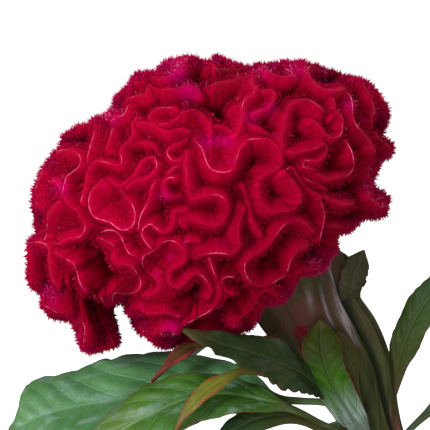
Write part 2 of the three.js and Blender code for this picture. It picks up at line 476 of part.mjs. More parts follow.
function leafyStem() {
  const frameLeaves = FRAME_LEAVES.map((leaf) => ({
    ...leaf,
    knots: leaf.knots.map(([x, y, near, half]) => [...seenAt(x, y, near).toArray(), half]),
  }));
  let solid = toSolid(stemBody(0));
  for (const leaf of [...frameLeaves, ...ROOM_LEAVES]) {
    const blade = toSolid(leafBody(leaf));
    solid = solid.add(blade);
  }
  return toGeometry(solid);
}

// Crest: its cushion is an ellipsoid whose reach in the frame follows the outline.
function outlineReach(angle) {
  const degrees = (THREE.MathUtils.radToDeg(angle) + 720) % 360;
  const passed = OUTLINE.findLastIndex(([start]) => start <= degrees);
  const from = OUTLINE.at(passed);
  const to = OUTLINE[(passed + 1) % OUTLINE.length];
  const span = (to[0] - from[0] + 360) % 360;
  const t = ((degrees - from[0] + 360) % 360) / span;
  return THREE.MathUtils.lerp(from[1], to[1], t * t * (3 - 2 * t)) * STEP;
}

// How far a place at an angle and a reach swings, in radians.
function swing(angle, reach) {
  const degrees = (THREE.MathUtils.radToDeg(angle) + 720) % 360;
  const out = THREE.MathUtils.smoothstep(reach / STEP, ...SWING_REACH);
  const within = THREE.MathUtils.smoothstep(degrees, ...SWING_START)
    * (1 - THREE.MathUtils.smoothstep(degrees, ...SWING_END));
  return THREE.MathUtils.degToRad(SWING_TURN) * out * within;
}

// The angle that a swung place came from.
function swungFrom(angle, reach) {
  let from = angle;
  for (let pass = 0; pass < SWING_PASSES; pass += 1) {
    from += SWING_EASE * (angle - from - swing(from, reach));
  }
  return from;
}

// A point of the cushion for a unit direction given along the eye's axes.
function cushionPoint([right, rise, near]) {
  const from = Math.atan2(rise, right);
  const reach = outlineReach(from) * Math.hypot(right, rise);
  const angle = from + swing(from, reach);
  return CREST_CENTRE.clone()
    .addScaledVector(RIGHT, Math.cos(angle) * reach)
    .addScaledVector(RISE, Math.sin(angle) * reach)
    .addScaledVector(FACE, near * CREST_HALF_DEPTH);
}

// The direction of the cushion's front that is seen at a frame place.
function seenDirection(x, y) {
  let near = 0;
  let direction = [0, 0, 1];
  for (let pass = 0; pass < 4; pass += 1) {
    const off = seenAt(x, y, near).sub(CREST_CENTRE);
    const [right, rise] = [off.dot(RIGHT), off.dot(RISE)];
    const reach = Math.hypot(right, rise);
    const angle = swungFrom(Math.atan2(rise, right), reach);
    const share = Math.min(0.985, reach / outlineReach(angle));
    direction = [share * Math.cos(angle), share * Math.sin(angle), Math.sqrt(1 - share * share)];
    near = direction[2] * CREST_HALF_DEPTH;
  }
  return direction;
}

// The same direction on the cushion's back, turned round.
function behind([right, rise, near]) {
  const angle = BACK_TURN - Math.atan2(rise, right);
  const share = Math.hypot(right, rise);
  return [share * Math.cos(angle), share * Math.sin(angle), -near];
}

// A fold's crest line as closely spaced points of the cushion, each with its heading and its right-hand side.
function traceFold(left, right, lift, directions) {
  const marks = directions.map((direction) => {
    const point = cushionPoint(direction);
    const [a, b, c] = direction;
    const outward = RIGHT.clone().multiplyScalar(a / outlineReach(Math.atan2(b, a)))
      .addScaledVector(RISE, b / outlineReach(Math.atan2(b, a)))
      .addScaledVector(FACE, c / CREST_HALF_DEPTH).normalize();
    return { direction, point, outward };
  });
  marks.forEach((mark, i) => {
    const before = marks[Math.max(i - 1, 0)].point;
    const after = marks[Math.min(i + 1, marks.length - 1)].point;
    mark.heading = after.clone().sub(before).normalize();
    mark.side = new THREE.Vector3().crossVectors(mark.heading, mark.outward).normalize();
  });
  return { left, right, lift, marks };
}

function allFolds() {
  const folds = [];
  for (const [left, right, lift, places] of FOLDS) {
    const knots = [];
    for (let i = 0; i < places.length; i += 2) {
      knots.push([places[i], places[i + 1]]);
    }
    let length = 0;
    for (let i = 1; i < knots.length; i += 1) {
      length += Math.hypot(knots[i][0] - knots[i - 1][0], knots[i][1] - knots[i - 1][1]) * STEP;
    }
    const steps = Math.ceil((SLANT * length) / FOLD_STEP);
    const front = Array.from({ length: steps + 1 }, (_, i) => seenDirection(...spline(knots, i / steps)));
    folds.push(traceFold(left, right, lift, front));
    folds.push(traceFold(left, right, lift, front.map(behind)));
  }
  const belt = Array.from({ length: BELT_MARKS + 1 }, (_, i) => {
    const angle = (i / BELT_MARKS) * Math.PI * 2;
    const lip = LIP_TILT * Math.max(0, Math.cos(2 * (angle - LIP_AT))) * (Math.cos(angle - LIP_AT) > 0 ? 1 : 0);
    const tilt = BELT_SWING * Math.sin(BELT_WAVES * angle) + lip;
    return [Math.cos(tilt) * Math.cos(angle), Math.cos(tilt) * Math.sin(angle), Math.sin(tilt)];
  });
  folds.push(traceFold(BELT_HALF, BELT_HALF, 0, belt));
  return folds;
}

// How far the surface lies below a fold's crest line, at a distance from it on a side with a given reach.
// A flank bellies out and then plunges into a crevice, and a cup stays shallow for longer.
function fall(distance, reach) {
  const wide = Math.abs(reach);
  const share = distance / wide;
  const inner = Math.min(share, 1);
  if (reach < 0) {
    const cup = CUP_DEPTH + CUP_DEPTH_SHARE * wide;
    return cup * (1 - (1 - inner) ** CUP_CURVE) + Math.max(0, share - CUP_END) * wide * PLUNGE;
  }
  const drop = FLANK_DROP + FLANK_DROP_SHARE * wide;
  const belly = FLANK_SLOPE * inner + (1 - FLANK_SLOPE) * inner ** FLANK_CURVE;
  return drop * belly + Math.max(0, share - 1) * wide * PLUNGE;
}

// How deep the surface lies under the cushion at one of its points: the highest fold there wins.
function depthUnder(point, folds) {
  let depth = CREST_DEEPEST;
  for (const fold of folds) {
    let best = Infinity;
    let nearest = null;
    for (const mark of fold.marks) {
      const square = mark.point.distanceToSquared(point);
      if (square < best) {
        best = square;
        nearest = mark;
      }
    }
    if (best < FOLD_REACH ** 2) {
      const off = point.clone().sub(nearest.point);
      const along = THREE.MathUtils.clamp(off.dot(nearest.heading), -FOLD_STEP / 2, FOLD_STEP / 2);
      const distance = off.addScaledVector(nearest.heading, -along).length();
      const reach = off.dot(nearest.side) > 0 ? fold.right : fold.left;
      depth = Math.min(depth, fall(distance, reach) - fold.lift);
    }
  }
  return depth;
}

// The direction of the cushion that a nearby point lies in.
function directionOf(point) {
  const off = point.clone().sub(CREST_CENTRE);
  const [right, rise] = [off.dot(RIGHT), off.dot(RISE)];
  const reach = Math.hypot(right, rise);
  const angle = swungFrom(Math.atan2(rise, right), reach);
  const share = reach / outlineReach(angle);
  const near = off.dot(FACE) / CREST_HALF_DEPTH;
  return new THREE.Vector3(share * Math.cos(angle), share * Math.sin(angle), near).normalize().toArray();
}

// Places on the cushion for the surface's corners: along the crest lines, along the flanks, and between them.
function crestCorners(folds) {
  const kept = [];
  const offer = (direction, share) => {
    const point = cushionPoint(direction);
    const spacing = share * THREE.MathUtils.lerp(
      FRONT_GRAIN, BACK_GRAIN, THREE.MathUtils.smoothstep(-direction[2], 0.1, 0.5));
    if (kept.every((other) => other.point.distanceToSquared(point) > spacing * spacing)) {
      kept.push({ direction, point });
    }
  };
  const aside = (mark, offset) => directionOf(mark.point.clone().addScaledVector(mark.side, offset));
  for (const fold of folds) {
    fold.marks.filter((_, i) => i % 2 === 0).forEach((mark) => offer(mark.direction, LINE_GRAIN_SHARE));
  }
  for (const row of FLANK_ROWS) {
    for (const fold of folds) {
      for (const [sign, reach] of [[1, fold.right], [-1, fold.left]]) {
        const offset = sign * row * Math.min(Math.abs(reach), FLANK_LIMIT);
        const odd = fold.marks.filter((_, i) => i % 2 === 1);
        odd.forEach((mark) => offer(aside(mark, offset), LINE_GRAIN_SHARE));
      }
    }
  }
  const golden = Math.PI * (3 - Math.sqrt(5));
  for (let i = 0; i < FILL_COUNT; i += 1) {
    const near = 1 - (2 * (i + 0.5)) / FILL_COUNT;
    const share = Math.sqrt(1 - near * near);
    offer([share * Math.cos(i * golden), share * Math.sin(i * golden), near], 1);
  }
  return kept;
}

// The cushion's corners are joined as the hull of their directions, then sunk under the folds' crest lines.
function crestBody() {
  const folds = allFolds();
  const kept = crestCorners(folds);
  const spots = kept.map(({ direction }) => new THREE.Vector3(...direction).normalize());
  const order = new Map(spots.map((spot, i) => [spot, i]));
  const hull = new ConvexHull().setFromPoints(spots);
  const triangles = hull.faces.map((faceOf) => {
    const corners = [];
    let edge = faceOf.edge;
    do {
      corners.push(order.get(edge.head().point));
      edge = edge.next;
    } while (edge !== faceOf.edge);
    return corners;
  });
  const points = kept.map(({ point }) => {
    const inward = CREST_CENTRE.clone().sub(point).normalize();
    return point.clone().addScaledVector(inward, depthUnder(point, folds));
  });
  return bodyFrom(points, triangles);
}

function crest() {
  return toGeometry(toSolid(crestBody()).subtract(toSolid(stemBody(SOCKET_GAP))));
}

// Pot: a turned wall and floor with a rim band, and drainage holes round the middle of its base.
function potInnerRadius(z) {
  const slope = (POT_NECK_RADIUS - POT_BASE_RADIUS) / POT_NECK_HEIGHT;
  return POT_BASE_RADIUS - POT_WALL + slope * z;
}

function pot() {
  const brow = POT_HEIGHT - POT_EDGE;
  const profile = [
    [0, 0], [POT_BASE_RADIUS - POT_EDGE, 0], [POT_BASE_RADIUS, POT_EDGE],
    [POT_NECK_RADIUS, POT_NECK_HEIGHT - POT_EDGE], [POT_RIM_RADIUS - POT_EDGE, POT_NECK_HEIGHT],
    [POT_RIM_RADIUS, brow], [POT_RIM_RADIUS - POT_EDGE, POT_HEIGHT],
    [potInnerRadius(brow) + POT_EDGE, POT_HEIGHT], [potInnerRadius(brow), brow],
    [potInnerRadius(POT_FLOOR), POT_FLOOR], [0, POT_FLOOR],
  ].map(([r, z]) => new THREE.Vector2(r, z));
  const wall = new THREE.LatheGeometry(profile, POT_SIDES);
  wall.rotateX(Math.PI / 2);
  let solid = toSolid(wall);
  for (let k = 0; k < DRAIN_COUNT; k += 1) {
    const angle = ((k + 0.5) / DRAIN_COUNT) * Math.PI * 2;
    const drain = new THREE.CylinderGeometry(DRAIN_RADIUS, DRAIN_RADIUS, POT_FLOOR * 3, DRAIN_SIDES);
    drain.rotateX(Math.PI / 2);
    drain.translate(DRAIN_RING * Math.cos(angle), DRAIN_RING * Math.sin(angle), POT_FLOOR / 2);
    solid = solid.subtract(toSolid(drain));
  }
  return toGeometry(solid);
}

// Soil: a filled body with a lumpy top and one plain round hole for the stem.
function soil() {
  const ring = (radius, heightAt) => Array.from({ length: POT_SIDES }, (_, k) => {
    const angle = (k / POT_SIDES) * Math.PI * 2;
    return new THREE.Vector3(radius * Math.cos(angle), radius * Math.sin(angle), heightAt(k));
  });
  const rings = [ring(potInnerRadius(POT_FLOOR) - GAP, () => POT_FLOOR + GAP)];
  const outer = potInnerRadius(SOIL_TOP - SOIL_LUMP) - 2 * GAP;
  for (let i = 0; i < SOIL_RINGS; i += 1) {
    const lump = i === 0 ? SOIL_LUMP / 2 : SOIL_LUMP;
    rings.push(ring(outer * (1 - i / SOIL_RINGS), (k) => SOIL_TOP - lump * chance(i * POT_SIDES + k)));
  }
  const foot = STEM_ROWS[0].point;
  const hole = new THREE.CylinderGeometry(STEM_HOLE_RADIUS, STEM_HOLE_RADIUS, SOIL_TOP, STEM_HOLE_SIDES);
  hole.rotateX(Math.PI / 2);
  hole.translate(foot[0], foot[1], foot[2] - GAP + SOIL_TOP / 2);
  return toGeometry(toSolid(skinRings(rings)).subtract(toSolid(hole)));
}

const group = new THREE.Group();

function addPiece(name, geometry, color, roughness) {
  const material = new THREE.MeshStandardMaterial({ color, roughness, metalness: 0, flatShading: true });
  const mesh = new THREE.Mesh(geometry, material);
  mesh.name = name;
  group.add(mesh);
}

addPiece('pot', pot(), 0xb5653f, 0.85);
addPiece('soil', soil(), 0x3a2a1f, 0.95);
addPiece('leafy_stem', leafyStem(), 0x5c7a3a, 0.55);
addPiece('crest', crest(), 0xa80a36, 0.8);

export default group;
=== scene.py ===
"""A crested cockscomb in a clay pot, dressed for a studio picture, in the order in which it is put together."""
import math

import bmesh
import bpy
import numpy as np
from mathutils import Matrix, Vector, noise


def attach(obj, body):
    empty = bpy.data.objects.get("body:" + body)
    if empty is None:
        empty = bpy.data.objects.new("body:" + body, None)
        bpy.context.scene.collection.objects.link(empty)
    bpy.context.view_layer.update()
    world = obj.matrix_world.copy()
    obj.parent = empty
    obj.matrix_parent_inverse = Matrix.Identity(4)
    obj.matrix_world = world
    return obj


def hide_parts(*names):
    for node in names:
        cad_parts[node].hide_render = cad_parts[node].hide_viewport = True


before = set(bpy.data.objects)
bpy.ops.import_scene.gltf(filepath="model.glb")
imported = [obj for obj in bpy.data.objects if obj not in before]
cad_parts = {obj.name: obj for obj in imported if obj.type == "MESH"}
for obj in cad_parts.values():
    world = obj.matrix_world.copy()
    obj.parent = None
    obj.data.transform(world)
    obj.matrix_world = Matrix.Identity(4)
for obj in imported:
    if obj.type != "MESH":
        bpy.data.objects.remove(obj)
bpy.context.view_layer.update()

# The eye: the picture is taken level with the bloom, from in front and a little above. One picture step is a
# third of a millimetre at the crest, and the stem and leaves are placed by the same steps.
MM = 0.001
STEP = 0.333 * MM
FRAME_STEPS = 430
FRAME_MIDDLE = 215
EYE_DISTANCE = 0.8
EYE_TILT = math.radians(12)
SENSOR = 36
CREST_CENTRE = np.array([-63, 0, 240]) * MM
CREST_PX = (210, 195)
RIGHT = np.array([1.0, 0.0, 0.0])
RISE = np.array([0.0, math.sin(EYE_TILT), math.cos(EYE_TILT)])
FACE = np.array([0.0, -math.cos(EYE_TILT), math.sin(EYE_TILT)])
AIM = CREST_CENTRE + RIGHT * (FRAME_MIDDLE - CREST_PX[0]) * STEP + RISE * (CREST_PX[1] - FRAME_MIDDLE) * STEP

eye_data = bpy.data.cameras.new("eye")
eye_data.sensor_width = SENSOR
eye_data.lens = SENSOR * EYE_DISTANCE / (FRAME_STEPS * STEP)
eye_data.dof.use_dof = False
eye = bpy.data.objects.new("eye", eye_data)
bpy.context.scene.collection.objects.link(eye)
place = AIM + FACE * EYE_DISTANCE
eye.matrix_world = Matrix([[RIGHT[i], RISE[i], FACE[i], place[i]] for i in range(3)] + [[0, 0, 0, 1]])
bpy.context.scene.camera = eye


# Clay pot: a turned and fired terracotta pot with a thick rim band and four drainage holes in its floor.
# Its outside is faintly ringed by the turning, and salts from the water have bloomed on the clay.
POT_HEIGHT = 105
POT_BASE_RADIUS = 42
POT_NECK_RADIUS = 54
POT_NECK_HEIGHT = 81
POT_RIM_RADIUS = 60
POT_WALL = 4.5
POT_FLOOR = 7
POT_EDGE = 1.5
EDGE_CUT = 0.4
BAND_LEDGE = 2.4
LIP_CUT = 0.45
INNER_LIP_DROP = 0.5
POT_SIDES = 96
WALL_RINGS = 64
BAND_RINGS = 16
INSIDE_RINGS = 24
DRAIN_RADIUS = 4
DRAIN_RING = 24
DRAIN_COUNT = 4
DRAIN_SIDES = 32
TURNING_DEPTH = 0.07
BAND_TURNING_DEPTH = 0.6 * TURNING_DEPTH
TURNING_PITCH = 2.6
CLAY_DARK, CLAY_LIGHT = (0.46, 0.17, 0.085), (0.62, 0.27, 0.14)
CLAY_PORES, CLAY_SALTS = (0.3, 0.1, 0.05), (0.72, 0.56, 0.45)


def new_piece(name, vertices, faces):
    mesh = bpy.data.meshes.new(name)
    mesh.from_pydata([tuple(v) for v in vertices], [], faces)
    mesh.update()
    piece = bpy.data.objects.new(name, mesh)
    bpy.context.scene.collection.objects.link(piece)
    return piece


def set_inputs(tree, node, inputs):
    """Each input, by name or number, takes a value or another node's output."""
    for key, value in inputs.items():
        if isinstance(value, bpy.types.NodeSocket):
            tree.links.new(value, node.inputs[key])
        else:
            node.inputs[key].default_value = value


def add_node(tree, kind, inputs=None, **settings):
    node = tree.nodes.new(kind)
    for key, value in settings.items():
        setattr(node, key, value)
    set_inputs(tree, node, inputs or {})
    return node


def add_math(tree, operation, *values):
    return add_node(tree, "ShaderNodeMath", dict(enumerate(values)), operation=operation).outputs[0]


def add_mix(tree, share, first, second):
    first, second = ((*colour, 1) if isinstance(colour, tuple) else colour for colour in (first, second))
    return add_node(tree, "ShaderNodeMix", {0: share, 6: first, 7: second}, data_type="RGBA").outputs[2]


def add_layers(tree, colour, *layers):
    """A colour with others laid over it one after the other, each by its share."""
    for share, over in layers:
        colour = add_mix(tree, share, colour, over)
    return colour


def add_noise(tree, scale, detail=4, roughness=0.55, stretch=None, source=None):
    source = source or add_node(tree, "ShaderNodeTexCoord").outputs["Object"]
    if stretch:
        source = add_node(tree, "ShaderNodeMapping", {"Vector": source, "Scale": stretch}).outputs["Vector"]
    inputs = {"Vector": source, "Scale": scale, "Detail": detail, "Roughness": roughness}
    return add_node(tree, "ShaderNodeTexNoise", inputs).outputs["Fac"]


def add_ramp(tree, value, low, high, first=0, last=1, easing="SMOOTHSTEP"):
    inputs = {"Value": value, "From Min": low, "From Max": high, "To Min": first, "To Max": last}
    return add_node(tree, "ShaderNodeMapRange", inputs, interpolation_type=easing).outputs["Result"]


def new_material(name):
    material = bpy.data.materials.new(name)
    material.use_nodes = True
    return material, material.node_tree


def set_shader(tree, inputs, height=None, depth=0, strength=1):
    """The finish's inputs, and a fine relief from a height, with its depth in metres."""
    if height:
        bump = add_node(tree, "ShaderNodeBump", {"Strength": strength, "Distance": depth, "Height": height})
        inputs = {**inputs, "Normal": bump.outputs["Normal"]}
    set_inputs(tree, tree.nodes["Principled BSDF"], inputs)


def finish(piece, material, node, angle=None):
    """One material, smooth shading apart from edges past the angle, and the piece's place in the frame."""
    piece.data.materials.clear()
    piece.data.materials.append(material)
    piece.data.shade_smooth()
    if angle:
        piece.data.set_sharp_from_angle(angle=math.radians(angle))
    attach(piece, "root")
    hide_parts(node)


def plain_copy(piece, name):
    """The piece with its modifiers applied, as a new piece with a plain mesh. The old one is removed."""
    evaluated = piece.evaluated_get(bpy.context.evaluated_depsgraph_get())
    mesh = bpy.data.meshes.new_from_object(evaluated)
    mesh.name = name
    copy = bpy.data.objects.new(name, mesh)
    bpy.context.scene.collection.objects.link(copy)
    bpy.data.objects.remove(piece)
    return copy


def ring_faces(rings, sides):
    """The four-sided faces between rings of points that follow each other."""
    return [(i * sides + k, i * sides + (k + 1) % sides, (i + 1) * sides + (k + 1) % sides, (i + 1) * sides + k)
            for i in range(rings - 1) for k in range(sides)]


def turned(name, profile, sides):
    angles = [2 * math.pi * k / sides for k in range(sides)]
    vertices = [(r * MM * math.cos(a), r * MM * math.sin(a), z * MM) for r, z in profile for a in angles]
    last = (len(profile) - 1) * sides
    caps = [tuple(reversed(range(sides))), tuple(range(last, last + sides))]
    return new_piece(name, vertices, ring_faces(len(profile), sides) + caps)


def pot_inner_radius(z):
    return POT_BASE_RADIUS - POT_WALL + (POT_NECK_RADIUS - POT_BASE_RADIUS) / POT_NECK_HEIGHT * z


def turning(z):
    return math.sin(2 * math.pi * z / TURNING_PITCH)


brow = POT_HEIGHT - POT_EDGE
outside = [(POT_BASE_RADIUS - POT_EDGE, 0), (POT_BASE_RADIUS - EDGE_CUT, EDGE_CUT), (POT_BASE_RADIUS, POT_EDGE)]
for i in range(1, WALL_RINGS):
    z = POT_EDGE + (POT_NECK_HEIGHT - 2 * POT_EDGE) * i / WALL_RINGS
    slope = (POT_NECK_RADIUS - POT_BASE_RADIUS) * (z - POT_EDGE) / (POT_NECK_HEIGHT - 2 * POT_EDGE)
    outside.append((POT_BASE_RADIUS + slope + TURNING_DEPTH * turning(z), z))
outside += [(POT_NECK_RADIUS, POT_NECK_HEIGHT - POT_EDGE),
            (POT_RIM_RADIUS - BAND_LEDGE, POT_NECK_HEIGHT - EDGE_CUT),
            (POT_RIM_RADIUS - POT_EDGE, POT_NECK_HEIGHT)]
for i in range(BAND_RINGS):
    z = POT_NECK_HEIGHT + 1 + (brow - POT_NECK_HEIGHT - 1) * i / (BAND_RINGS - 1)
    taper = POT_EDGE * (brow - z) / (brow - POT_NECK_HEIGHT)
    outside.append((POT_RIM_RADIUS - taper + BAND_TURNING_DEPTH * turning(z), z))
outside += [(POT_RIM_RADIUS - LIP_CUT, POT_HEIGHT - LIP_CUT), (POT_RIM_RADIUS - POT_EDGE, POT_HEIGHT),
            (pot_inner_radius(brow) + POT_EDGE, POT_HEIGHT),
            (pot_inner_radius(brow) + EDGE_CUT, POT_HEIGHT - INNER_LIP_DROP)]
inside = [(pot_inner_radius(z), z) for z in np.linspace(brow, POT_FLOOR, INSIDE_RINGS)]
solid_pot = turned("solid_pot", outside + inside, POT_SIDES)
drains = bmesh.new()
for k in range(DRAIN_COUNT):
    angle = (k + 0.5) / DRAIN_COUNT * 2 * math.pi
    centre = Vector((DRAIN_RING * math.cos(angle), DRAIN_RING * math.sin(angle), POT_FLOOR / 2)) * MM
    bmesh.ops.create_cone(
        drains, cap_ends=True, segments=DRAIN_SIDES, radius1=DRAIN_RADIUS * MM, radius2=DRAIN_RADIUS * MM,
        depth=3 * POT_FLOOR * MM, matrix=Matrix.Translation(centre))
cutter = new_piece("drains", [], [])
drains.to_mesh(cutter.data)
drains.free()
cut = solid_pot.modifiers.new("drains", "BOOLEAN")
cut.object = cutter
cut.operation = "DIFFERENCE"
cut.solver = "EXACT"
clay_pot = plain_copy(solid_pot, "clay_pot")
bpy.data.objects.remove(cutter)

clay, tree = new_material("fired_clay")
firing = add_noise(tree, 28, 5)
grit = add_noise(tree, 1500, 2, 0.7)
salts = add_noise(tree, 55, 8, 0.65, stretch=(1, 1, 0.45))
colour = add_layers(
    tree, CLAY_DARK, (add_ramp(tree, firing, 0.3, 0.7), CLAY_LIGHT),
    (add_ramp(tree, grit, 0.62, 0.75), CLAY_PORES), (add_ramp(tree, salts, 0.55, 0.8, 0, 0.65), CLAY_SALTS))
set_shader(tree, {"Base Color": colour, "Roughness": add_ramp(tree, salts, 0.4, 0.8, 0.78, 0.95)},
           add_math(tree, "ADD", grit, firing), 0.12 * MM, 0.6)
finish(clay_pot, clay, "pot", 35)


# Potting soil: dark peat pressed into the pot, crumbly on top, with loose crumbs and a few white grains of
# perlite. The stem stands in it, in a slight hollow.
SOIL_TOP = 93
SOIL_LUMP = 2
SOIL_RINGS = 50
SOIL_SIDES = 140
SOIL_FLOOR_GAP = 0.4
SOIL_WALL_GAP = 0.6
SOIL_SHOULDER = 3
SOIL_SPECK = 0.02
LUMP_LIMIT = 0.95
# The lumps start low at the pot's wall, and are full after so many rings.
WALL_LUMP = 0.3
LUMP_RINGS = 6
# Two layers of lumps, big and small: where each layer is cut from the noise, how close it lies, and its height.
LUMP_LAYERS = ((3.1, 0.11, 0.75), (7.7, 0.55, 0.5))
STEM_FOOT = (3, 0, 72)
HOLLOW_RADIUS = 9
HOLLOW_DEPTH = 0.6
PEAT_DARK, PEAT_LIGHT = (0.012, 0.008, 0.005), (0.085, 0.05, 0.03)
PERLITE_GREY, PERLITE_WHITE = (0.62, 0.6, 0.56), (0.85, 0.84, 0.8)
# The grains: how many to a square metre, their size in mm, and their seed.
CRUMBS, PERLITE = (230000, 0.9, 11), (9000, 1.3, 29)
GRAIN_TURN = (6.28, 6.28, 6.28)
GRAIN_LEAST, GRAIN_MOST = (0.25, 0.3, 0.2), (1.0, 0.8, 0.7)

soil_outer = pot_inner_radius(SOIL_TOP - SOIL_LUMP) - SOIL_WALL_GAP
rings = [(pot_inner_radius(POT_FLOOR) - SOIL_FLOOR_GAP, POT_FLOOR + SOIL_FLOOR_GAP, 0),
         (soil_outer - SOIL_FLOOR_GAP, SOIL_TOP - SOIL_SHOULDER, 0)]
for i in range(SOIL_RINGS):
    rings.append((soil_outer * (1 - i / SOIL_RINGS) + SOIL_SPECK, SOIL_TOP - SOIL_LUMP / 2,
                  min(1, WALL_LUMP + i / LUMP_RINGS)))
vertices = []
for radius, height, lump in rings:
    for k in range(SOIL_SIDES):
        angle = 2 * math.pi * k / SOIL_SIDES
        x, y = radius * math.cos(angle), radius * math.sin(angle)
        lumps = sum(high * noise.fractal(Vector((x, y, layer)) * close, 1.0, 2.0, 3)
                    for layer, close, high in LUMP_LAYERS)
        near_stem = math.exp(-((math.hypot(x - STEM_FOOT[0], y) / HOLLOW_RADIUS) ** 2))
        lift = lump * lumps - HOLLOW_DEPTH * near_stem * lump
        vertices.append((x * MM, y * MM, (height + max(-LUMP_LIMIT, min(LUMP_LIMIT, lift))) * MM))
last = (len(rings) - 1) * SOIL_SIDES
potting_soil = new_piece("potting_soil", vertices, [tuple(reversed(range(SOIL_SIDES)))]
                         + ring_faces(len(rings), SOIL_SIDES) + [tuple(range(last, last + SOIL_SIDES))])

peat, tree = new_material("peat")
damp = add_noise(tree, 90)
fibre = add_noise(tree, 900, 4, 0.7)
dry = add_ramp(tree, add_math(tree, "MULTIPLY", damp, fibre), 0.15, 0.4)
set_shader(tree, {"Base Color": add_mix(tree, dry, PEAT_DARK, PEAT_LIGHT), "Roughness": 0.95},
           fibre, 0.6 * MM, 0.8)

white_grain, tree = new_material("perlite")
set_shader(tree, {"Base Color": add_mix(tree, add_noise(tree, 700, 2), PERLITE_GREY, PERLITE_WHITE),
                  "Roughness": 0.9}, add_noise(tree, 2500, 2), 0.1 * MM, 0.5)


def grown(name, carrier, sizes, material, make):
    """What a node tree with named sizes makes on a carrier, as a new piece with a plain mesh."""
    tree = bpy.data.node_groups.new(name, "GeometryNodeTree")
    tree.interface.new_socket("Geometry", in_out="INPUT", socket_type="NodeSocketGeometry")
    sockets = {key: tree.interface.new_socket(key, in_out="INPUT", socket_type="NodeSocketFloat")
               for key in sizes}
    tree.interface.new_socket("Geometry", in_out="OUTPUT", socket_type="NodeSocketGeometry")
    made = make(tree, add_node(tree, "NodeGroupInput").outputs)
    realized = add_node(tree, "GeometryNodeRealizeInstances", {0: made}).outputs[0]
    dressed = add_node(tree, "GeometryNodeSetMaterial", {"Geometry": realized, "Material": material})
    add_node(tree, "NodeGroupOutput", {0: dressed.outputs[0]})
    modifier = carrier.modifiers.new(name, "NODES")
    modifier.node_group = tree
    for key, value in sizes.items():
        modifier[sockets[key].identifier] = value
    return plain_copy(carrier, name)


def carrier_for(name, ground):
    carrier = bpy.data.objects.new(f"{name}_carrier", ground.data.copy())
    bpy.context.scene.collection.objects.link(carrier)
    return carrier


def strewn_grains(seed, level):
    """A tree that strews stretched grains of a subdivision level over the upward faces."""
    def make(tree, entry):
        normal = add_node(tree, "GeometryNodeInputNormal").outputs[0]
        upward = add_node(tree, "ShaderNodeSeparateXYZ", {0: normal}).outputs["Z"]
        is_top = add_node(tree, "FunctionNodeCompare", {0: upward, 1: 0.5}).outputs[0]
        spread = add_node(tree, "GeometryNodeDistributePointsOnFaces", {
            "Mesh": entry["Geometry"], "Selection": is_top, "Density": entry["Per square metre"], "Seed": seed})
        grain = add_node(tree, "GeometryNodeMeshIcoSphere", {"Subdivisions": level, "Radius": 1})
        turn = add_node(tree, "FunctionNodeRandomValue", {"Max": GRAIN_TURN, "Seed": seed + 1},
                        data_type="FLOAT_VECTOR")
        stretch = add_node(tree, "FunctionNodeRandomValue", {
            "Min": GRAIN_LEAST, "Max": GRAIN_MOST, "Seed": seed + 2}, data_type="FLOAT_VECTOR")
        size = add_node(tree, "ShaderNodeVectorMath", {0: stretch.outputs[0], "Scale": entry["Grain size"]},
                        operation="SCALE")
        return add_node(tree, "GeometryNodeInstanceOnPoints", {
            "Points": spread.outputs["Points"], "Instance": grain.outputs["Mesh"], "Rotation": turn.outputs[0],
            "Scale": size.outputs[0]}).outputs[0]
    return make


finish(potting_soil, peat, "soil", 60)
for name, (count, size, seed), material, level in (
        ("soil_crumbs", CRUMBS, peat, 1), ("perlite", PERLITE, white_grain, 2)):
    grains = grown(name, carrier_for(name, potting_soil), {"Per square metre": count, "Grain size": size * MM},
                   material, strewn_grains(seed, level))
    finish(grains, material, "soil", 30)


# Stem: round and thick as a finger at the soil, then flattened into a ribbed fan that leans left and widens
# under the crest. Its skin is olive green with silvery bands on the fan. One deep groove runs down its front.
STEM_RIBS = 14
STEM_RIB_DEPTH = 0.045
STEM_FINE_RIBS = 43
STEM_FINE_DEPTH = 0.011
GROOVE_DEPTH = 0.21
GROOVE_WIDTH = 7.5
# The groove's bottom, painted near-black as shade, and the rosy flank beside it: degrees past the groove,
# half-width, and the heights in mm between which each fades out.
GROOVE_SHADE = (3, 6.5, 199, 207)
GROOVE_BLUSH = (19, 11, 160, 169)
# The stem's ribs grow while it turns by these degrees, and its fan's colours begin between these heights in mm.
FLATTENING = (8, 20)
FAN_HEIGHTS = (178, 205)
BAND_FADE_IN, BAND_FADE_OUT = 7, 5
# The ribs and bands waver with the height in mm.
DRIFT, DRIFT_PITCH = 0.5, 23
RIB_DRIFT, FINE_RIB_DRIFT, BAND_DRIFT = 0.6, 3, 3
# The fan's spots are painted on what lies at most this many steps behind the crest's centre plane.
SPOT_BACK = 30
STEM_RINGS = 120
STEM_SIDES = 172
STEM_DARK, STEM_LIGHT = (0.032, 0.04, 0.012), (0.076, 0.084, 0.028)
STEM_RUST, FAN_BROWN, STREAK_RED = (0.08, 0.022, 0.016), (0.075, 0.04, 0.026), (0.22, 0.03, 0.045)
BAND_SILVER, FLUSH_ROSE, TUFT_RED = (0.32, 0.27, 0.29), (0.19, 0.045, 0.045), (0.15, 0.001, 0.012)
BLUSH_PINK, GROOVE_PAINTED_SHADE = (0.34, 0.05, 0.085), (0.005, 0.01, 0.002)
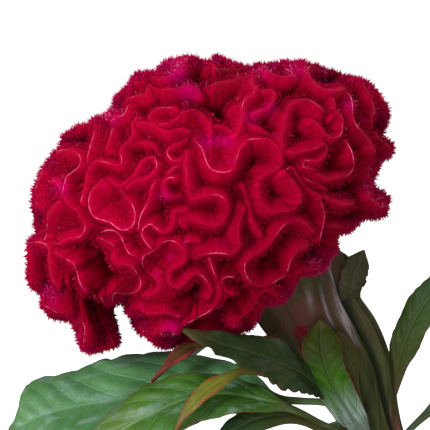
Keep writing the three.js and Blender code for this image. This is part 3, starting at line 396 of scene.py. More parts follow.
# Each row of the stem: its place, its half-width and half-thickness in mm, how far it is turned round, and
# where the groove runs, both in degrees. A place is X, Y, Z, or in the second list a picture place with its
# nearness.
STEM_ROWS = [
    ((3, 0, 72), 6.4, 5.9, 0, -38), ((3, 0, 84), 6.5, 6, 0, -38), ((3, 0, 97), 6.7, 6.1, 2, -38),
    ((1.6, 0, 120), 7.3, 6.3, 8, -38), ((-2.4, 0, 144), 8.2, 6.5, 15, -38)]
FRAME_STEM_ROWS = [
    ((374, 430, -16.6), 9.3, 6.7, 22, -47), ((364, 400, -14.6), 11, 6.8, 24, -50),
    ((354, 370, -12.4), 12.6, 6.8, 26, -49), ((335, 341, -10.3), 14.8, 6.7, 28, -47),
    ((314, 316, -8.4), 15.9, 6.7, 31, -37), ((300, 290, -6.5), 17.2, 7, 33, -28),
    ((289, 266, -4.8), 16.6, 6.8, 34, -14), ((280, 245, -3.5), 13, 5.4, 35, -12),
    ((275, 237, -3), 8, 3.2, 35, -12)]
# Silvery bands on the fan: how many degrees before the groove each runs, how wide it is, and the heights in mm
# where it starts and ends.
SILVER_BANDS = ((15, 4.4, 184, 225), (34, 2.2, 192, 209), (52, 4, 199, 211))
# A ragged red tuft and a rosy flush on the fan: picture place, radius in steps, strength.
FAN_TUFT = (302, 331, 8.5, 1)
FAN_FLUSH = (303, 312, 15, 0.5)


def seen_at(x, y, near):
    """The point in mm seen at a picture place, a given number of mm in front of the crest's centre plane."""
    shrink = 1 - near * MM / EYE_DISTANCE
    return (AIM + RIGHT * (x - FRAME_MIDDLE) * STEP * shrink + RISE * (FRAME_MIDDLE - y) * STEP * shrink) / MM \
        + FACE * near


def spline(knots, u):
    """The smooth curve through rows of values, at each u from 0 to 1."""
    knots = np.asarray(knots, float)
    last = len(knots) - 1
    i = np.minimum(np.floor(np.asarray(u) * last).astype(int), last - 1)
    t = (np.asarray(u) * last - i)[..., None]
    a, b, c, d = (knots[np.clip(i + k, 0, last)] for k in (-1, 0, 1, 2))
    return 0.5 * (2 * b + (c - a) * t + (2 * a - 5 * b + 4 * c - d) * t * t + (3 * b - a - 3 * c + d) * t ** 3)


def smooth(value, low, high):
    t = np.clip((value - low) / (high - low), 0, 1)
    return t * t * (3 - 2 * t)


def add_points_value(mesh, name, values):
    layer = mesh.attributes.new(name, "FLOAT", "POINT")
    layer.data.foreach_set("value", np.asarray(values, np.float32).ravel())


def add_corner_map(mesh, name, u, v):
    layer = mesh.uv_layers.new(name=name)
    corners = np.empty(len(mesh.loops), int)
    mesh.loops.foreach_get("vertex_index", corners)
    layer.data.foreach_set("uv", np.stack([u[corners], v[corners]], 1).astype(np.float32).ravel())


def add_values(tree, *names):
    return [add_node(tree, "ShaderNodeAttribute", attribute_name=name).outputs["Fac"] for name in names]


rows = [(*place, *sizes) for place, *sizes in STEM_ROWS]
rows += [(*seen_at(*place), *sizes) for place, *sizes in FRAME_STEM_ROWS]
u = np.linspace(0, 1, STEM_RINGS)
along_stem = spline(rows, u)
centre, wide, thick, turn = along_stem[:, :3], along_stem[:, 3], along_stem[:, 4], np.radians(along_stem[:, 5])
angle = np.linspace(0, 2 * np.pi, STEM_SIDES, endpoint=False)
height = centre[:, 2:3]
groove_at = along_stem[:, 6:7]
off_groove = (np.degrees(angle)[None] - groove_at + 180) % 360 - 180
swell = smooth(np.degrees(turn), *FLATTENING)[:, None]
drift = DRIFT * np.sin(height / DRIFT_PITCH)
reach = 1 + STEM_RIB_DEPTH * np.cos(STEM_RIBS * angle[None] + RIB_DRIFT * drift) \
    + STEM_FINE_DEPTH * np.cos(STEM_FINE_RIBS * angle[None] + FINE_RIB_DRIFT * drift) * swell \
    - GROOVE_DEPTH * swell * np.exp(-((off_groove / GROOVE_WIDTH) ** 2))
across = np.stack([np.cos(turn), np.zeros_like(turn), np.sin(turn)], 1)
points = centre[:, None] + across[:, None] * (np.cos(angle)[None] * wide[:, None] * reach)[..., None] \
    + np.array([0, 1.0, 0]) * (np.sin(angle)[None] * thick[:, None] * reach)[..., None]
vertices = np.concatenate([points.reshape(-1, 3), centre[:1], centre[-1:]]) * MM
foot, top = STEM_RINGS * STEM_SIDES, STEM_RINGS * STEM_SIDES + 1
faces = ring_faces(STEM_RINGS, STEM_SIDES)
faces += [((k + 1) % STEM_SIDES, k, foot) for k in range(STEM_SIDES)]
faces += [(foot - STEM_SIDES + k, foot - STEM_SIDES + (k + 1) % STEM_SIDES, top) for k in range(STEM_SIDES)]
stem = new_piece("stem", vertices, faces)
ring_of = np.append(np.repeat(np.arange(STEM_RINGS), STEM_SIDES), [0, STEM_RINGS - 1])
side_of = np.append(np.tile(angle, STEM_RINGS), [0, 0])
add_corner_map(stem.data, "skin", np.sin(side_of / 2) * wide[ring_of] * 2, centre[ring_of, 2])

# Painted shade in the groove's bottom, a little past its middle, fading out high on the stem.
past, width, low, high = GROOVE_SHADE
groove_shade = swell * (1 - smooth(height, low, high)) * np.exp(-(((off_groove - past) / width) ** 4))
past, width, low, high = GROOVE_BLUSH
blush = np.exp(-(((off_groove - past) / width) ** 2)) * (1 - smooth(height, low, high)) * swell
bands = sum(np.exp(-(((off_groove + before + BAND_DRIFT * drift) / width) ** 2))
            * smooth(height, low, low + BAND_FADE_IN) * (1 - smooth(height, high - BAND_FADE_OUT, high))
            for before, width, low, high in SILVER_BANDS)
for name, value in (("groove_shade", groove_shade), ("band", bands * (np.sin(angle)[None] < 0)), ("blush", blush)):
    add_points_value(stem.data, name, np.append(value.ravel(), [0, 0]))
add_points_value(stem.data, "fan", smooth(centre[ring_of, 2], *FAN_HEIGHTS))
for name, (x, y, radius, strength) in (("tuft", FAN_TUFT), ("flush", FAN_FLUSH)):
    off = (vertices - seen_at(x, y, 0) * MM) / STEP
    on_front = off @ FACE > -SPOT_BACK
    spot = strength * np.exp(-(((off @ RIGHT) ** 2 + (off @ RISE) ** 2) / radius ** 2)) * on_front
    add_points_value(stem.data, name, spot)

stem_skin, tree = new_material("stem_skin")
skin = add_node(tree, "ShaderNodeUVMap", uv_map="skin").outputs[0]
streak = add_noise(tree, 1, 5, 0.6, stretch=(0.9, 0.07, 1), source=skin)
fine_streak = add_noise(tree, 1, 4, 0.6, stretch=(3.2, 0.16, 1), source=skin)
blotch = add_noise(tree, 60)
fan, band, groove_shade, blush, tuft, flush = add_values(tree, "fan", "band", "groove_shade", "blush", "tuft", "flush")
browner = add_math(tree, "MULTIPLY", add_ramp(tree, blotch, 0.35, 0.6, 0.35, 0.9), fan)
redder = add_math(tree, "MULTIPLY", add_ramp(tree, fine_streak, 0.59, 0.7),
                  add_math(tree, "MULTIPLY_ADD", fan, 0.6, 0.1))
silver = add_math(tree, "MULTIPLY", add_ramp(tree, fine_streak, 0.38, 0.54, 0.1, 1), band)
silver = add_math(tree, "MULTIPLY", silver, add_ramp(tree, blotch, 0.36, 0.54, 0.35, 1))
ragged = add_math(tree, "MULTIPLY_ADD", add_noise(tree, 420, 4, 0.7), 2.2, tuft)
rosier = add_math(tree, "MULTIPLY", blush, add_ramp(tree, streak, 0.4, 0.6, 0.1, 0.9))
# The last layer paints shade, a near-black, into the groove's bottom.
colour = add_layers(
    tree, STEM_DARK, (add_ramp(tree, streak, 0.35, 0.65), STEM_LIGHT),
    (add_ramp(tree, blotch, 0.5, 0.75, 0, 0.4), STEM_RUST), (browner, FAN_BROWN), (redder, STREAK_RED),
    (silver, BAND_SILVER), (flush, FLUSH_ROSE), (add_ramp(tree, ragged, 1.5, 1.75, 0, 0.9), TUFT_RED),
    (rosier, BLUSH_PINK), (add_math(tree, "MULTIPLY", groove_shade, 0.93), GROOVE_PAINTED_SHADE))
set_shader(tree, {"Base Color": colour, "Roughness": add_ramp(tree, fine_streak, 0.3, 0.7, 0.42, 0.6),
                  "Specular IOR Level": 0.08}, add_math(tree, "ADD", fine_streak, streak), 0.2 * MM, 0.6)
finish(stem, stem_skin, "leafy_stem")


# Leaves: thin waxy blades on long stalks that grow from the stem, with a raised midrib, veins that sweep
# forward, rippled and lightly notched edges, and red-brown margins. Young ones near the crest are browner.
BLADE_HALF = 0.27
STALK_HALF = 0.95
# The half-widths in mm between which a stalk turns into a blade. Some slim leaves are blades from less.
STALK_REACH = (1.7, 4.8)
SLIM_REACH = {"crest_bract": (1.1, 2.1), "curled_leaf": (1.3, 2.5), "shy_leaf": (1.3, 3)}
TIP_HALF = 0.35
RIB_UNDER = 0.65
RIB_HOLLOW = 0.12
RIB_HALF = 0.55
VEIN_RISE = 0.24
VEIN_HALF = 0.12
VEIN_SWEEP = 0.5
# How far the veins of the far half lie behind those of the near half, and how much they wander.
VEIN_LAG = 0.37
VEIN_WANDER = (0.25, 0.16)
BLADE_VEE = 0.28
BLADE_CAMBER = 0.3
EDGE_LAG = 1.9
# How uneven the edge is: how high, how often for each row of the leaf, and how its seed counts.
EDGE_UNEVEN = ((0.03, 2.6, 1), (0.012, 9.3, 2))
ROWS_PER_ROW = 7
LEAF_COLUMNS = 30
PILLOW_SHARE = 0.02
# The edge's teeth: how deep they are on the far and near side, how many there are for each row of the leaf, and
# from where along the blade they turn into wide bites. A start past 1 means that there are no bites.
TEETH = {"crossing_leaf": (0.03, 0.15, 1.6, 0.69), "fan_bract": (0.1, 0.1, 0.4, 2),
         "wide_leaf": (0.05, 0.05, 0.8, 2)}
OTHER_TEETH = (0.03, 0.03, 1.2, 2)
# The teeth's lag on the far half, how they wander, and the parts of a tooth in which its edge rises and falls.
TOOTH_LAG = 0.4
TOOTH_WANDER = (0.3, 23)
TOOTH_RISE, TOOTH_FALL = (0.35, 1), (0.92, 1)
BITE_DEPTH = 2.6
BITE_PITCH = 0.43
# Each leaf: its name, its number of rows, its face's direction, the wave's height, count and phase, its skin,
# and its knots. Knots of the first group are picture places with their nearness, and of the second X, Y, Z, all
# with the blade's half-width in mm.
PICTURE_LEAVES = [
    ("wide_leaf", 16, (0.05, -0.62, 0.78), 1.3, 4.5, 0.4, "broad", [
        (358, 427, -15, 1.3), (345, 413, -8, 1.3), (326, 403, -3, 1.3), (300, 401, -1, 1.4), (276, 399, 0, 2.4),
        (243, 391.5, 0, 8.8), (200, 388, -1, 14.6), (155, 393, -2, 17.6), (108, 402, -3, 17),
        (68, 409, -4, 16.4), (40, 417, -5, 14.6), (22, 426, -6, 6.2), (9, 433, -6, 1)]),
    ("near_leaf", 13, (0.1, -0.7, 0.72), 1.1, 4, 2.1, "edged", [
        (364, 446, -15, 1.2), (345, 434, -8, 1.2), (322, 424, -1, 1.2), (303, 414, 5, 1.3), (283, 406, 9, 2),
        (255, 399, 12, 5.6), (225, 394.5, 14, 7.6), (190, 398, 15, 9), (152, 414, 15, 10.5),
        (120, 432, 13, 8.5), (97, 452, 11, 4.8), (80, 474, 8, 0.7)]),
    ("curled_leaf", 10, (-0.35, -0.8, 0.5), 0.4, 3, 0, "olive", [
        (356, 408, -14, 1.2), (326, 394, -3, 1.1), (292, 383, 5, 1), (264, 374, 11, 1), (244, 371, 16, 1.3),
        (226, 378, 20, 2), (208, 389, 22, 2.9), (193, 403, 23, 2.5), (183, 417, 23, 1.4), (175, 433, 22, 0.5)]),
    ("crossing_leaf", 13, (0.1, -0.72, 0.68), 1.2, 3.5, 1.2, "dusky", [
        (352, 402, -12, 1.6), (336, 397, -3, 2), (318, 387, 5, 4.2), (298, 372, 12, 7.8), (274, 361, 18, 8.3),
        (250, 352.5, 22, 7), (226, 346, 25, 5), (204, 338.5, 27, 3.2), (183, 330, 28, 0.6)]),
    ("front_leaf", 10, (-0.15, -1, 0.12), 0.7, 3, 0.5, "bright", [
        (372, 447, -16, 1.8), (364, 435, -8, 2.6), (354, 420, -1, 4.6), (342, 401, 4, 5.8), (330, 379, 7, 6.3),
        (323, 356, 8, 6.4), (321, 338, 7, 5.8), (321, 321, 4, 1)]),
    ("shy_leaf", 9, (0.35, -0.9, 0.1), 0.3, 2, 0, "dull", [
        (366, 418, -13, 1.2), (357, 400, -4, 1.8), (351, 379, -1, 2.9), (349, 360, 0, 3.8), (344, 344, 0, 2.8),
        (336, 331, -1, 0.6)]),
    ("fan_bract", 8, (0.25, -0.95, 0), 0.3, 2, 1, "bract", [
        (350, 322, -13, 3), (349, 305, -7, 4), (350, 290, -3, 4.1), (353.5, 277, -2, 4.9), (357, 267, -2, 4.9),
        (360, 260, -2, 3.6), (363.5, 250.5, -3, 0.4)]),
    ("rear_bract", 8, (0.2, -0.95, 0.2), 0.3, 2, 0.5, "rear", [
        (354, 296, -13, 1.5), (352, 282, -12, 3), (347, 270, -11, 3.6), (338, 261, -10, 3.4),
        (328, 254, -9, 2.6), (318, 248, -9, 0.6)]),
    ("right_leaf", 11, (-0.5, -0.8, 0.32), 0.6, 3, 0.8, "dark", [
        (382, 416, -16, 1.8), (390, 398, -14, 2), (396, 378, -12, 2.5), (400.5, 356, -10, 4.4),
        (408, 334, -8, 5.9), (419.5, 312, -7, 6.1), (432.5, 293, -6, 5.4), (446, 275, -6, 3.8),
        (459, 258, -7, 0.7)]),
    ("far_right_leaf", 9, (-0.4, -0.8, 0.45), 0.7, 3, 0.2, "dark", [
        (386, 484, -18, 1.5), (412, 477, -14, 1.7), (438, 457, -10, 4), (448.5, 429, -7, 6.2),
        (454, 400, -6, 4.4), (461, 372, -7, 0.7)]),
    ("low_leaf", 10, (0.1, -0.75, 0.66), 0.5, 3, 0.2, "dark", [
        (374, 470, -15, 1.2), (352, 453, -8, 1.2), (328, 435, -2, 1.3), (305, 422, 2, 1.5), (282, 416, 5, 3),
        (257, 420, 7, 4.6), (232, 433, 8, 4.2), (206, 464, 8, 0.7)]),
    ("lower_leaf", 9, (0, -0.6, 0.8), 0.8, 3, 1.7, "broad", [
        (380, 496, -16, 1.3), (356, 480, -8, 1.5), (330, 464, 0, 3), (304, 456, 6, 6.4), (276, 458, 10, 7.8),
        (248, 470, 12, 6), (222, 490, 11, 0.8)]),
    ("crest_bract", 10, (-0.3, -0.8, 0.5), 0.2, 2, 0, "blush", [
        (292, 322, -9, 1.3), (268, 338, -6, 1.1), (240, 341, -3, 1.1), (213, 342, 0, 1), (198, 345, 2, 1.4),
        (184, 350, 4, 2.9), (172, 360, 5, 1.9), (162, 371, 6, 1), (151.5, 382, 7, 0.4)]),
]
ROOM_LEAVES = [
    ("back_leaf_1", 10, (-0.25, -0.2, 0.95), 1, 3.5, 0.9, "broad", [
        (-2, 0, 150, 1.5), (9, 12, 158, 1.6), (24, 24, 165, 5.5), (42, 34, 166, 9.5), (60, 42, 158, 8),
        (76, 48, 144, 0.8)]),
    ("back_leaf_2", 10, (0.1, -0.1, 0.97), 1, 3.5, 2.4, "broad", [
        (-10, 0, 172, 1.5), (-18, 13, 182, 1.6), (-30, 27, 188, 6), (-44, 42, 188, 10), (-58, 56, 179, 8),
        (-70, 68, 166, 0.8)]),
    ("side_leaf_1", 10, (-0.2, 0.25, 0.95), 0.9, 3, 0.3, "edged", [
        (2, 0, 126, 1.5), (13, -12, 134, 1.6), (28, -24, 139, 6), (44, -34, 137, 9.5), (60, -42, 127, 7.4),
        (73, -48, 113, 0.8)]),
    ("back_leaf_3", 10, (-0.3, -0.75, 0.55), 0.6, 3, 1.5, "dusky", [
        (-17, 1, 190, 1.5), (-20, 14, 197, 1.7), (-26, 28, 203, 5), (-34, 42, 206, 6.6), (-43, 55, 203, 4.8),
        (-51, 66, 195, 0.7)]),
    ("side_leaf_2", 10, (0.2, 0.1, 0.96), 1, 3, 0.7, "broad", [
        (1, 0, 114, 1.5), (-13, 3, 124, 1.6), (-30, 5, 131, 6), (-50, 6, 132, 10), (-69, 6, 123, 8),
        (-84, 5, 108, 0.8)]),
    ("back_leaf_4", 10, (-0.1, -0.3, 0.94), 0.9, 3, 1.1, "edged", [
        (0, 1, 133, 1.5), (-3, 14, 142, 1.6), (-8, 30, 148, 5.4), (-14, 46, 148, 8.6), (-21, 61, 139, 6.6),
        (-27, 72, 127, 0.8)]),
]
# Skins: the shaded and the lit green, the veins' colour, the margin's colour and width, how brown the blade
# is, its tip's colour with its strength and where it starts, its foot's colour and strength, its gloss, and how
# much painted sheen, pale patches that stand in for the gloss's reflection, lies on it.
LEAF_SKINS = {
    "broad": dict(
        shade=(0.034, 0.14, 0.022), light=(0.1, 0.265, 0.1), veins=(0.15, 0.32, 0.15), margin=(0.12, 0.1, 0.05),
        margin_width=0.03, brown=0.0, tip=(0.1, 0.12, 0.04), tip_share=0.1, tip_from=0.7,
        foot=(0.2, 0.36, 0.16), foot_share=0.1, gloss=0.16, painted_sheen=0.5),
    "edged": dict(
        shade=(0.014, 0.07, 0.005), light=(0.066, 0.19, 0.02), veins=(0.16, 0.31, 0.1),
        margin=(0.2, 0.07, 0.025), margin_width=0.05, brown=0.05, tip=(0.14, 0.12, 0.03), tip_share=0.3,
        tip_from=0.7, foot=(0.16, 0.25, 0.1), foot_share=0.1, gloss=0.1, painted_sheen=0.45),
    "olive": dict(
        shade=(0.07, 0.12, 0.008), light=(0.2, 0.2, 0.016), veins=(0.26, 0.22, 0.04), margin=(0.3, 0.075, 0.02),
        margin_width=0.4, brown=0.15, tip=(0.26, 0.08, 0.025), tip_share=0.7, tip_from=0.78,
        foot=(0.26, 0.1, 0.03), foot_share=0.6, gloss=0.1, painted_sheen=0),
    "dull": dict(
        shade=(0.03, 0.04, 0.005), light=(0.075, 0.075, 0.011), veins=(0.09, 0.07, 0.02),
        margin=(0.26, 0.03, 0.03), margin_width=0.12, brown=0.3, tip=(0.06, 0.05, 0.01), tip_share=0.5,
        tip_from=0.6, foot=(0.08, 0.1, 0.03), foot_share=0.2, gloss=0.05, painted_sheen=0),
    "dusky": dict(
        shade=(0.01, 0.024, 0.004), light=(0.03, 0.054, 0.009), veins=(0.05, 0.075, 0.025),
        margin=(0.12, 0.025, 0.025), margin_width=0.06, brown=0.15, tip=(0.03, 0.035, 0.012), tip_share=0.6,
        tip_from=0.7, foot=(0.06, 0.1, 0.05), foot_share=0.3, gloss=0, painted_sheen=0.05),
    "rear": dict(
        shade=(0.014, 0.036, 0.007), light=(0.036, 0.075, 0.014), veins=(0.06, 0.085, 0.03),
        margin=(0.1, 0.03, 0.02), margin_width=0.05, brown=0.1, tip=(0.03, 0.05, 0.012), tip_share=0.4,
        tip_from=0.7, foot=(0.04, 0.045, 0.02), foot_share=0.3, gloss=0.02, painted_sheen=0),
    "bright": dict(
        shade=(0.012, 0.055, 0.001), light=(0.048, 0.14, 0.005), veins=(0.05, 0.06, 0.018),
        margin=(0.26, 0.03, 0.03), margin_width=0.05, brown=0.2, tip=(0.026, 0.036, 0.003), tip_share=0.94,
        tip_from=0.54, foot=(0.29, 0.38, 0.33), foot_share=1, gloss=0, painted_sheen=0.1),
    "bract": dict(
        shade=(0.028, 0.031, 0.013), light=(0.07, 0.065, 0.031), veins=(0.1, 0.085, 0.05),
        margin=(0.08, 0.015, 0.02), margin_width=0.12, brown=0.4, tip=(0.03, 0.018, 0.012), tip_share=0.6,
        tip_from=0.8, foot=(0.05, 0.05, 0.02), foot_share=0, gloss=0.03, painted_sheen=0),
    "dark": dict(
        shade=(0.01, 0.03, 0.004), light=(0.04, 0.072, 0.013), veins=(0.06, 0.085, 0.03),
        margin=(0.12, 0.04, 0.03), margin_width=0.05, brown=0.3, tip=(0.035, 0.08, 0.04), tip_share=0.4,
        tip_from=0.6, foot=(0.075, 0.05, 0.018), foot_share=0.5, gloss=0, painted_sheen=0.04),
    "blush": dict(
        shade=(0.045, 0.03, 0.006), light=(0.12, 0.05, 0.014), veins=(0.15, 0.06, 0.02),
        margin=(0.3, 0.02, 0.03), margin_width=0.4, brown=0.3, tip=(0.28, 0.012, 0.035), tip_share=0.95,
        tip_from=0.66, foot=(0.1, 0.06, 0.03), foot_share=0, gloss=0.05, painted_sheen=0),
}
# Painted sheen: pale patches that stand in for light reflected off the leaves' waxy gloss.
LEAF_PAINTED_SHEEN = (0.25, 0.39, 0.35)
STALK_BROWN = (0.1, 0.07, 0.025)


def unit(vectors):
    return vectors / np.linalg.norm(vectors, axis=-1, keepdims=True)


def leaf(name, rows, face, wave, waves, phase, knots):
    """A closed blade with its stalk. Its points run along it, flat from 0 to 1, and across it, side from -1
    to 1, and its rows bend forward with the veins."""
    count, columns = rows * ROWS_PER_ROW, LEAF_COLUMNS
    flat, side = np.meshgrid(np.linspace(0, 1, count + 1), np.linspace(-1, 1, columns + 1), indexing="ij")
    wing = np.abs(side)
    u = np.minimum(1, flat + VEIN_SWEEP * wing * flat * (1 - flat))
    values = spline(knots, u)
    half = np.maximum(TIP_HALF, values[..., 3])
    blade = smooth(half, *SLIM_REACH.get(name, STALK_REACH))
    seed = sum(map(ord, name))
    run = flat * rows + VEIN_WANDER[0] * np.sin(seed + flat * 9) + np.where(side > 0, VEIN_LAG, 0) \
        + VEIN_WANDER[1] * np.sin(4 * wing + 17 * flat + seed)
    far_teeth, near_teeth, teeth, bites_from = TEETH.get(name, OTHER_TEETH)
    counted = np.minimum(u, bites_from) + BITE_PITCH * np.maximum(0, u - bites_from)
    tooth = (counted * rows * teeth + np.where(side > 0, TOOTH_LAG, 0)
             + TOOTH_WANDER[0] * np.sin(u * TOOTH_WANDER[1] + seed)) % 1
    saw = smooth(tooth, *TOOTH_RISE) * (1 - smooth(tooth, *TOOTH_FALL))
    bitten = smooth(u, bites_from - 0.02, bites_from + 0.02)
    notch = saw * (1 - bitten) + BITE_DEPTH * np.sin(np.pi * tooth) * bitten
    notch = np.where(side > 0, far_teeth, near_teeth) * blade * notch
    uneven = sum(high * blade * np.sin(u * rows * often + late * seed) for high, often, late in EDGE_UNEVEN)
    half = half * (1 + (uneven - notch) * wing ** 2)
    before, after = spline(knots, np.maximum(0, u - 0.01)), spline(knots, np.minimum(1, u + 0.01))
    ahead = unit(after[..., :3] - before[..., :3])
    across = unit(np.cross(ahead, unit(np.array(face, float))))
    up = np.cross(across, ahead)
    turn = 2 * np.pi * waves * u + phase + np.where(side > 0, EDGE_LAG, 0)
    ripple = wave * blade * side ** 2 * np.sin(turn)
    vee = half * (BLADE_VEE * wing - BLADE_CAMBER * side ** 2) * blade
    pillow = PILLOW_SHARE * half * blade * np.cos(2 * np.pi * run) * smooth(wing, 0.02, 0.25) \
        * (1 - smooth(wing, 0.75, 1))
    round_stalk = np.sqrt(np.maximum(0.02, 1 - side ** 2))
    thin_edge = np.maximum(0.25, 1 - wing ** 6)
    body = STALK_HALF * round_stalk * (1 - blade) + BLADE_HALF * thin_edge * blade
    taper = 1 - 0.5 * smooth(flat, 0.7, 1)
    rib = np.exp(-((side * half / RIB_HALF) ** 2)) * blade
    vein = np.exp(-((((run % 1) - 0.5) / VEIN_HALF) ** 2)) * (1 - wing ** 3) * blade
    middle = values[..., :3] + across * (side * half)[..., None] + up * (ripple + vee + pillow)[..., None]
    over = middle + up * (body - RIB_HOLLOW * rib * taper)[..., None]
    under = middle - up * (body + (VEIN_RISE * vein + RIB_UNDER * rib) * taper)[..., None]
    width = columns + 1
    base, last = over.shape[0] * width, count * width
    faces = []
    for i in range(count):
        for j in range(columns):
            a = i * width + j
            faces.append((a, a + 1, a + 1 + width, a + width))
            faces.append((base + a + width, base + a + 1 + width, base + a + 1, base + a))
        a, b = i * width, i * width + columns
        faces.append((a, a + width, base + a + width, base + a))
        faces.append((b + width, b, base + b, base + b + width))
    for j in range(columns):
        faces.append((j + 1, j, base + j, base + j + 1))
        faces.append((last + j, last + j + 1, base + last + j + 1, base + last + j))
    piece = new_piece(name, np.concatenate([over.reshape(-1, 3), under.reshape(-1, 3)]) * MM, faces)
    length = np.linalg.norm(np.diff(spline(knots, np.linspace(0, 1, 200))[:, :3], axis=0), axis=1).sum()
    add_corner_map(piece.data, "blade_map", np.tile((side * half).ravel(), 2), np.tile((u * length).ravel(), 2))
    for key, value in dict(vein_run=run, wing=wing, blade=blade, along=u, reach=side * half).items():
        add_points_value(piece.data, key, np.tile(value.ravel(), 2))
    add_points_value(piece.data, "under", np.repeat([0, 1], base))
    return piece


def leaf_skin(name, shade, light, veins, margin, margin_width, brown, tip, tip_share, tip_from, foot,
              foot_share, gloss, painted_sheen):
    material, tree = new_material(f"{name}_leaf_skin")
    blade_map = add_node(tree, "ShaderNodeUVMap", uv_map="blade_map").outputs[0]
    run, wing, blade, along, reach, under = add_values(
        tree, "vein_run", "wing", "blade", "along", "reach", "under")
    off_vein = add_math(tree, "ABSOLUTE", add_math(tree, "SUBTRACT", add_math(tree, "FRACT", run), 0.5))
    vein = add_math(tree, "MULTIPLY", add_ramp(tree, off_vein, 0.02, 0.07, 1, 0),
                    add_ramp(tree, wing, 0.7, 1, 1, 0))
    rib = add_ramp(tree, add_math(tree, "ABSOLUTE", reach), 0.3, 0.75, 1, 0)
    lines = add_math(tree, "MAXIMUM", add_math(tree, "MULTIPLY", vein, 0.6), rib)
    lines = add_math(tree, "MULTIPLY", lines, blade)
    clouds = add_noise(tree, 45)
    cells = add_noise(tree, 0.9, 3, 0.6, source=blade_map)
    net = add_node(tree, "ShaderNodeTexVoronoi", {"Vector": blade_map, "Scale": 0.85},
                   feature="DISTANCE_TO_EDGE")
    between = add_ramp(tree, net.outputs["Distance"], 0, 0.12)
    # Patches where the painted sheen lies.
    sheen_patches = add_noise(tree, 1, 4, 0.6, stretch=(0.2, 0.09, 1), source=blade_map)
    streaks = add_noise(tree, 1, 3, 0.6, stretch=(0.9, 0.07, 1), source=blade_map)
    near_foot = add_math(tree, "MULTIPLY", add_ramp(tree, along, 0.3, 0.56, 1, 0),
                         add_ramp(tree, streaks, 0.4, 0.62, foot_share, 0.4 * foot_share))
    to_tip = add_math(tree, "MULTIPLY_ADD", clouds, 0.25, add_math(tree, "SUBTRACT", along, 0.125))
    browner = add_math(tree, "MAXIMUM",
                       add_math(tree, "MULTIPLY", add_ramp(tree, cells, 0.4, 0.7), 0.5 * brown),
                       add_ramp(tree, to_tip, tip_from, tip_from + 0.22, 0, tip_share))
    to_edge = add_math(tree, "MULTIPLY_ADD", clouds, margin_width, wing)
    rim = add_math(tree, "MULTIPLY", add_ramp(tree, to_edge, 1 - 0.6 * margin_width, 1), blade)
    rim = add_math(tree, "MULTIPLY", rim, add_ramp(tree, add_noise(tree, 130, 2), 0.42, 0.56, 0.25, 1))
    # Painted light and shade over the mottled green: the lit green on the raised pillows away from the veins,
    # and the shaded green along the net's sunken furrows.
    colour = add_layers(
        tree, shade, (add_ramp(tree, clouds, 0.35, 0.65), light),
        (add_ramp(tree, off_vein, 0.08, 0.4, 0, 0.25), light),
        (add_ramp(tree, sheen_patches, 0.48, 0.66, 0, painted_sheen), LEAF_PAINTED_SHEEN),
        (add_ramp(tree, between, 0, 1, 0.35, 0), shade),
        (add_math(tree, "MULTIPLY", under, 0.45), tuple(0.8 * c + 0.03 for c in light)), (near_foot, foot),
        (browner, tip), (add_math(tree, "MULTIPLY", lines, 0.4), veins), (rim, margin),
        (add_math(tree, "MULTIPLY_ADD", blade, -0.5, 0.5), STALK_BROWN))
    relief = add_math(tree, "MULTIPLY_ADD", lines, -0.8, add_math(tree, "MULTIPLY", between, 0.12))
    relief = add_math(tree, "MULTIPLY_ADD", cells, 0.4, relief)
    set_shader(tree, {"Base Color": colour, "Roughness": add_ramp(tree, cells, 0.3, 0.7, 0.4, 0.55),
                      "Specular IOR Level": 0.1 + gloss, "Coat Weight": gloss, "Coat Roughness": 0.25},
               relief, 0.3 * MM, 0.7)
    return material


leaf_materials = {name: leaf_skin(name, **values) for name, values in LEAF_SKINS.items()}
placed_leaves = [(*values, skin, [(*seen_at(x, y, near), half) for x, y, near, half in knots])
                 for *values, skin, knots in PICTURE_LEAVES]
for *values, skin, knots in placed_leaves + ROOM_LEAVES:
    finish(leaf(*values, knots), leaf_materials[skin], "leafy_stem")


# Crest: hundreds of tiny flowers grown together into one crimson velvet cushion. Its fans wind and double back,
# each with a smooth bright crest line, broad piled flanks, and dark crevices between them. The velvet's colour
# paints light on the ridges and near the crest lines, and shade down the flanks and in the crevices.
CREST_HALF_DEPTH = 46
CREST_DEEPEST = 13
FOLD_STEP = 0.5
SLANT = 1.3
FLANK_DROP = 2.2
FLANK_DROP_SHARE = 0.75
FLANK_SLOPE = 0.25
FLANK_CURVE = 2.2
CUP_DEPTH = 0.3
CUP_DEPTH_SHARE = 0.3
CUP_CURVE = 1.8
CUP_END = 1.25
PLUNGE = 3
BACK_TURN = math.radians(80)
# A wavy fold runs all round the cushion between its front and back, and is tipped forward in one corner.
BELT_MARKS = 880
BELT_WAVES = 15
BELT_SWING = math.radians(11)
BELT_HALF = 3.6
LIP_AT = math.radians(318)
LIP_TILT = math.radians(15)
FOLD_RANGE = 12
FAR_SIDE = 6.0
LINE_ROUND = 0.3
# The two sides of a crest line blend where a point lies ahead of its end or behind it.
SIDE_BLEND = 0.6
SHARE_LIMIT = 1.6
# The folds lie this many mm apart in the pile's map, so no two have the same strands.
MAP_STRIDE = 37.7
# So many pairs of points and marks are measured at a time.
PAIRS_AT_ONCE = 4_000_000
SEEN_PASSES = 4
SEEN_LIMIT = 0.985
SPOT_SPREAD = 0.7
CREST_FREQUENCY = 98
FRONT_PULL = 0.38
# The velvet's painted light and shade of one crimson: shade in the crevices and down the flanks, the lit ridge,
# and a painted highlight along the crest lines.
VELVET_CREVICE_SHADE, VELVET_FLANK_SHADE, VELVET_RIDGE_LIT = (0.05, 0, 0.001), (0.29, 0, 0.014), (0.45, 0, 0.03)
VELVET_RIDGE_HIGHLIGHT, VELVET_MAGENTA_SHEEN = (0.57, 0.001, 0.04), (0.62, 0, 0.15)
